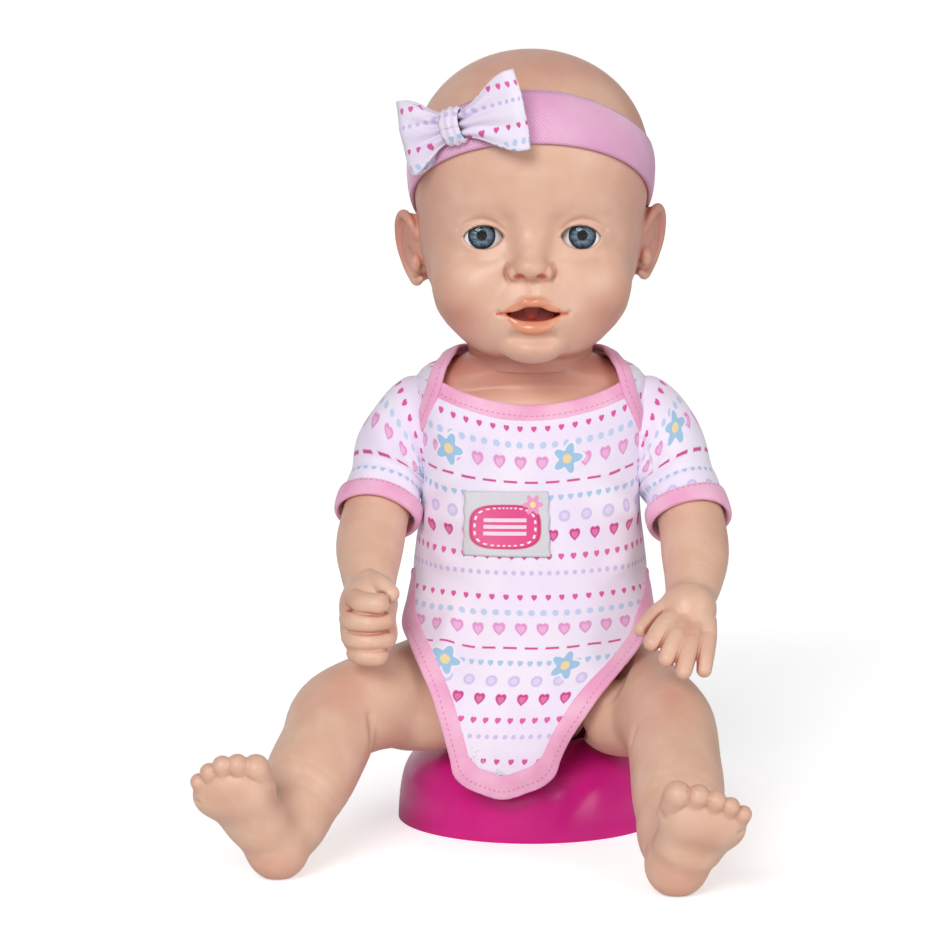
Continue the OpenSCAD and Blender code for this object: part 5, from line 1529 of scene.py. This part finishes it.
def build_bow():
    at, turn = bow_frame()
    for side, length, name, swell in ((-1, 23.5, "bow_wing_right", 9.4), (1, 30, "bow_wing_left", 10.2)):
        across, along = 33, 41
        t = np.linspace(-1, 1, across)
        points, runs, halves = [], [], []
        for i in range(along):
            w = 2 * i / (along - 1) - 1  # -1 at the back of the knot, 0 at the outer fold, 1 in front
            reach = 1 - abs(w) ** 1.5
            x = 3.0 + (length - 3) * reach
            half = 5.4 + swell * smooth_step(reach, 0, 0.95)
            open_by = 0.35 + 0.65 * reach
            gap = 3.4 * np.sign(w) * abs(w) ** 0.5 * smooth_step(abs(w), 0, 0.25) * open_by * 1.4
            pleat = 1.5 * (1 - reach) * np.cos(3.2 * math.pi * t)
            pleat = pleat + 0.6 * reach * np.sin(2.2 * math.pi * t + 1 + side)
            y = -(gap + (pleat if w > 0 else pleat * 0.5))
            points.append(np.stack([side * (x + 1.2 * np.cos(math.pi * t / 2) * reach), y, half * t], 1))
            runs.append([w * length])
            halves.append(half * t)
        wing = panel(name, np.array(points) @ turn.T + at, runs, halves)
        solidify(wing, 0.7, 0)
        finish_piece(wing, "head", PRINT_MATERIAL, "print_cloth", *(["bow_wings"] if side < 0 else []))
    # knot: a short gathered loop round the middle
    t = circle(40)
    points, runs = [], []
    for s in np.linspace(-1, 1, 13):
        pinch = 1 - 0.12 * s * s + 0.05 * math.cos(s * 9)
        points.append(np.stack([0 * t + 4.4 * s, -1 + -5.2 * np.cos(t) * pinch, 7.4 * np.sin(t) * pinch], 1))
        runs.append([4.4 * s])
    knot = panel("bow_knot_cloth", np.array(points) @ turn.T + at, runs, t * 6, True)
    turn_out(knot, at)
    solidify(knot, 0.8)
    finish_piece(knot, "head", PRINT_MATERIAL, "print_cloth", "bow_knot")


# ---------------------------------------------------------------- plastics and metal
def plain_paint(name, colour, roughness, **more):
    """Moulded or metal part: its colour with a faint cloudiness and a fine grain."""
    p = Paint(name, colour, roughness, **more)
    p.colour(p.cloudy(55, 3, 0.3, 0.75, colour, tuple(c * 0.9 for c in colour[:3]) + (1,)))
    p.roughness(p.noise(400, 3).scaled(0.12, max(roughness - 0.06, 0.02)))
    p.bump(p.noise(900, 2), 0.02, 0.4)
    return p.material


def paint_nodes():
    """Looks of the CAD's own nodes, other than the eyes."""
    white = plain_paint("joint_plastic", rgb(236, 234, 230), 0.4)
    steel = plain_paint("zinc_steel", rgb(196, 198, 202), 0.3, Metallic=1.0)
    black = plain_paint("black_plastic", rgb(38, 38, 42), 0.5)
    looks = {
        "battery_door": SKIN_MATERIAL,
        "mouth_funnel": plain_paint("mouth_rubber", rgb(150, 60, 54), 0.5),
        "throat_tube": plain_paint("hose", rgb(222, 222, 214), 0.4),
        "drain_tube": plain_paint("drain_hose", rgb(222, 222, 214), 0.4),
        "neck_post": white, "shoulder_joint_right": white, "shoulder_joint_left": white,
        "hip_joint_right": white, "hip_joint_left": white,
        "casing_screws": steel, "door_screw": steel, "button_spring": steel,
        "water_tank": plain_paint("tank_plastic", rgb(214, 226, 234), 0.35),
        "circuit_board": plain_paint("solder_mask", rgb(36, 120, 70), 0.35),
        "speaker": black, "power_switch": black,
        "battery_box": plain_paint("battery_housing", rgb(66, 66, 70), 0.5),
        "battery_cells": plain_paint("cell_jacket", rgb(44, 92, 166), 0.25),
        "tummy_button": plain_paint("button_pink", rgb(238, 132, 176), 0.35),
    }
    for node, material in looks.items():
        repaint(node, material)


# ---------------------------------------------------------------- potty
# Radius and height, from the foot over the rounded shoulder and the rim into the bowl and back
POTTY = [(53, 0), (52.9, 3), (52.5, 9), (51.6, 15.5), (50.2, 20.5), (47.6, 25), (43.4, 28.9), (37.5, 32.2),
         (33, 34.3), (30.4, 35.4), (28.8, 35.5), (27.9, 34.6), (27.5, 32), (27.5, 17), (26.4, 12), (22.5, 9),
         (15, 8), (0.01, 8), (0.01, 5.8), (16, 5.8), (24.5, 7.6), (28.6, 11.5), (29.9, 18), (30, 29),
         (31.4, 31.8), (36.5, 30), (42.4, 26.6), (46, 23), (48, 19.2), (49.3, 14.6), (50.2, 8), (50.6, 1.2),
         (50.8, 0)]


def build_potty():
    turn = circle(144)
    rows = smooth_row(POTTY, np.linspace(0, len(POTTY) - 1, 150))
    rows = np.concatenate([rows, rows[:1]])
    points = [np.stack([r * np.cos(turn), r * np.sin(turn), 0 * turn + max(z, 0)], 1) for r, z in rows]
    faces = grid_faces(len(rows), len(turn), True)
    potty = new_mesh("potty_moulding", np.array(points).reshape(-1, 3), faces)
    fix_normals(potty)
    gloss = plain_paint("potty_gloss", rgb(212, 22, 134), 0.24, Specular_IOR_Level=0.4, Coat_Weight=0.15,
                        Coat_Roughness=0.08)
    finish_piece(potty, "potty", gloss, "potty_pink", "potty")


# ---------------------------------------------------------------- torso
def build_torso():
    """Front and rear body skins; the shoulders fill the suit and the hips meet the legs' faces."""
    low_z = np.concatenate([np.linspace(BODY_LOW, 60, 22), np.linspace(62, 156, 48)])
    high_z = np.linspace(158, BODY_HIGH, 40)
    s = np.linspace(-1, 1, 73)
    for front, name in ((True, "torso_front"), (False, "torso_rear")):
        azimuth = s * math.pi / 2 + (0 if front else math.pi)
        rows = [body_point(azimuth, z, 0) for z in low_z]
        # the same places on the suit, which counts its turns from the front
        turn = s * 0.5 if front else np.where(s <= 0, 1 + s * 0.5, -1 + s * 0.5)
        broad = np.abs(np.sin(azimuth))[:, None] ** 1.5  # the nape keeps its own shape
        ring = np.stack([NECK_R * np.sin(azimuth), -NECK_R * np.cos(azimuth), 0 * azimuth], 1)
        for z in high_z:
            cloth = suit_at(turn, z, -2.2)[0]
            side = np.maximum(broad, 1 - smooth_step(z, 170, 180)) if front else broad
            skin = body_point(azimuth, z, 0)
            mixed = skin + (cloth - skin) * smooth_step(z, 156, 172) * side
            rows.append(mixed + (ring + (0, 0, z) - mixed) * smooth_step(z, 181, BODY_HIGH) * (1 - side))
        last = rows[-1]
        for t in np.linspace(0.12, 1, 8):  # over the top to the neck
            rise = (0, 0, 1.3 * math.sin(t * math.pi / 2))
            rows.append(last + ((ring + (0, 0, BODY_HIGH)) - last) * t + rise)
        points = np.array(rows)
        x, z = points[..., 0], points[..., 2]
        cosine, sine = math.cos(HIP_TILT), math.sin(HIP_TILT)
        plane = (HIP[0] * cosine + (z - HIP[2]) * sine - 0.4) / cosine  # 0.4 mm short of the hips' faces
        limit = np.where(z < 90, np.maximum(plane, 2), 99)
        points[..., 0] = np.clip(x, -limit, limit)
        skin = new_mesh(name + "_skin", points.reshape(-1, 3), grid_faces(len(rows), len(s)))
        turn_out(skin, (0, 0, 100))
        solidify(skin, 2.0)
        # painted shade under the chin: the upper chest round the neck is blushed darker and given crease
        # shade
        no_face_marks(skin, 0.85 * smooth_step(z.ravel(), 164, 184))
        store(skin, "crease", 0.45 * smooth_step(z.ravel(), 162, 178))
        finish_piece(skin, "torso", SKIN_MATERIAL, "skin_vinyl", name)


# ---------------------------------------------------------------- stage
FLOOR_GLOW = 0.5  # brings the lit floor up to white
WORLD_GLOW = 0.3  # what the white world adds to the light; the camera sees it at 1
SUNS = (  # name, way to the sun, its width in degrees, power
    ("key", (-0.3, -1.0, 0.55), 26, 1.7),
    ("fill", (0.9, -1.0, 0.3), 40, 0.85),
    ("rear", (-0.3, 1.0, 0.2), 60, 0.45),
)


def build_stage():
    """A white world, a white floor and three soft suns."""
    world = bpy.data.worlds.new("studio")
    scene.world = world
    world.use_nodes = True
    tree = world.node_tree
    back = tree.nodes["Background"]
    back.inputs["Color"].default_value = (1, 1, 1, 1)
    rays = tree.nodes.new("ShaderNodeLightPath")
    seen = tree.nodes.new("ShaderNodeMath")
    seen.operation = "MAXIMUM"
    tree.links.new(rays.outputs["Is Camera Ray"], seen.inputs[0])
    tree.links.new(rays.outputs["Is Transmission Ray"], seen.inputs[1])
    level = tree.nodes.new("ShaderNodeMapRange")
    level.inputs["To Min"].default_value = WORLD_GLOW
    level.inputs["To Max"].default_value = 1.0
    tree.links.new(seen.outputs[0], level.inputs["Value"])
    tree.links.new(level.outputs[0], back.inputs["Strength"])
    bpy.ops.mesh.primitive_plane_add(size=12)
    floor = bpy.context.object
    floor.name = "floor"
    p = Paint("floor_white", (0.9, 0.9, 0.9, 1), 0.95, Specular_IOR_Level=0.0)
    rays = p.node("LightPath")
    p.shader.inputs["Emission Color"].default_value = (1, 1, 1, 1)
    shown = p.math("MULTIPLY", rays.outputs["Is Camera Ray"], FLOOR_GLOW)
    p.give(shown, p.shader.inputs["Emission Strength"])
    floor.data.materials.append(p.material)
    for name, way, width, power in SUNS:
        lamp = bpy.data.lights.new(name, "SUN")
        lamp.energy = power
        lamp.angle = math.radians(width)
        obj = bpy.data.objects.new(name, lamp)
        obj.rotation_euler = (-Vector(way)).to_track_quat("-Z", "Y").to_euler()
        scene.collection.objects.link(obj)
    scene.view_settings.view_transform = "Standard"


make_camera()
SKIN_MATERIAL = skin_paint()
PRINT_MATERIAL = print_paint()
BINDING_MATERIAL = binding_paint()
paint_nodes()
eye_materials()
build_head()
for arm_side in SIDES:
    build_arm(arm_side)
for leg_side in SIDES:
    build_leg(leg_side)
    build_sleeve(leg_side)
front_points, front_normals = build_front()
build_back()
build_torso()
build_potty()
build_neck_bindings()
flap_edge = build_leg_binding(front_points, front_normals)
build_label()
build_fibres(*flap_edge)
build_band()
build_bow()
build_stage()
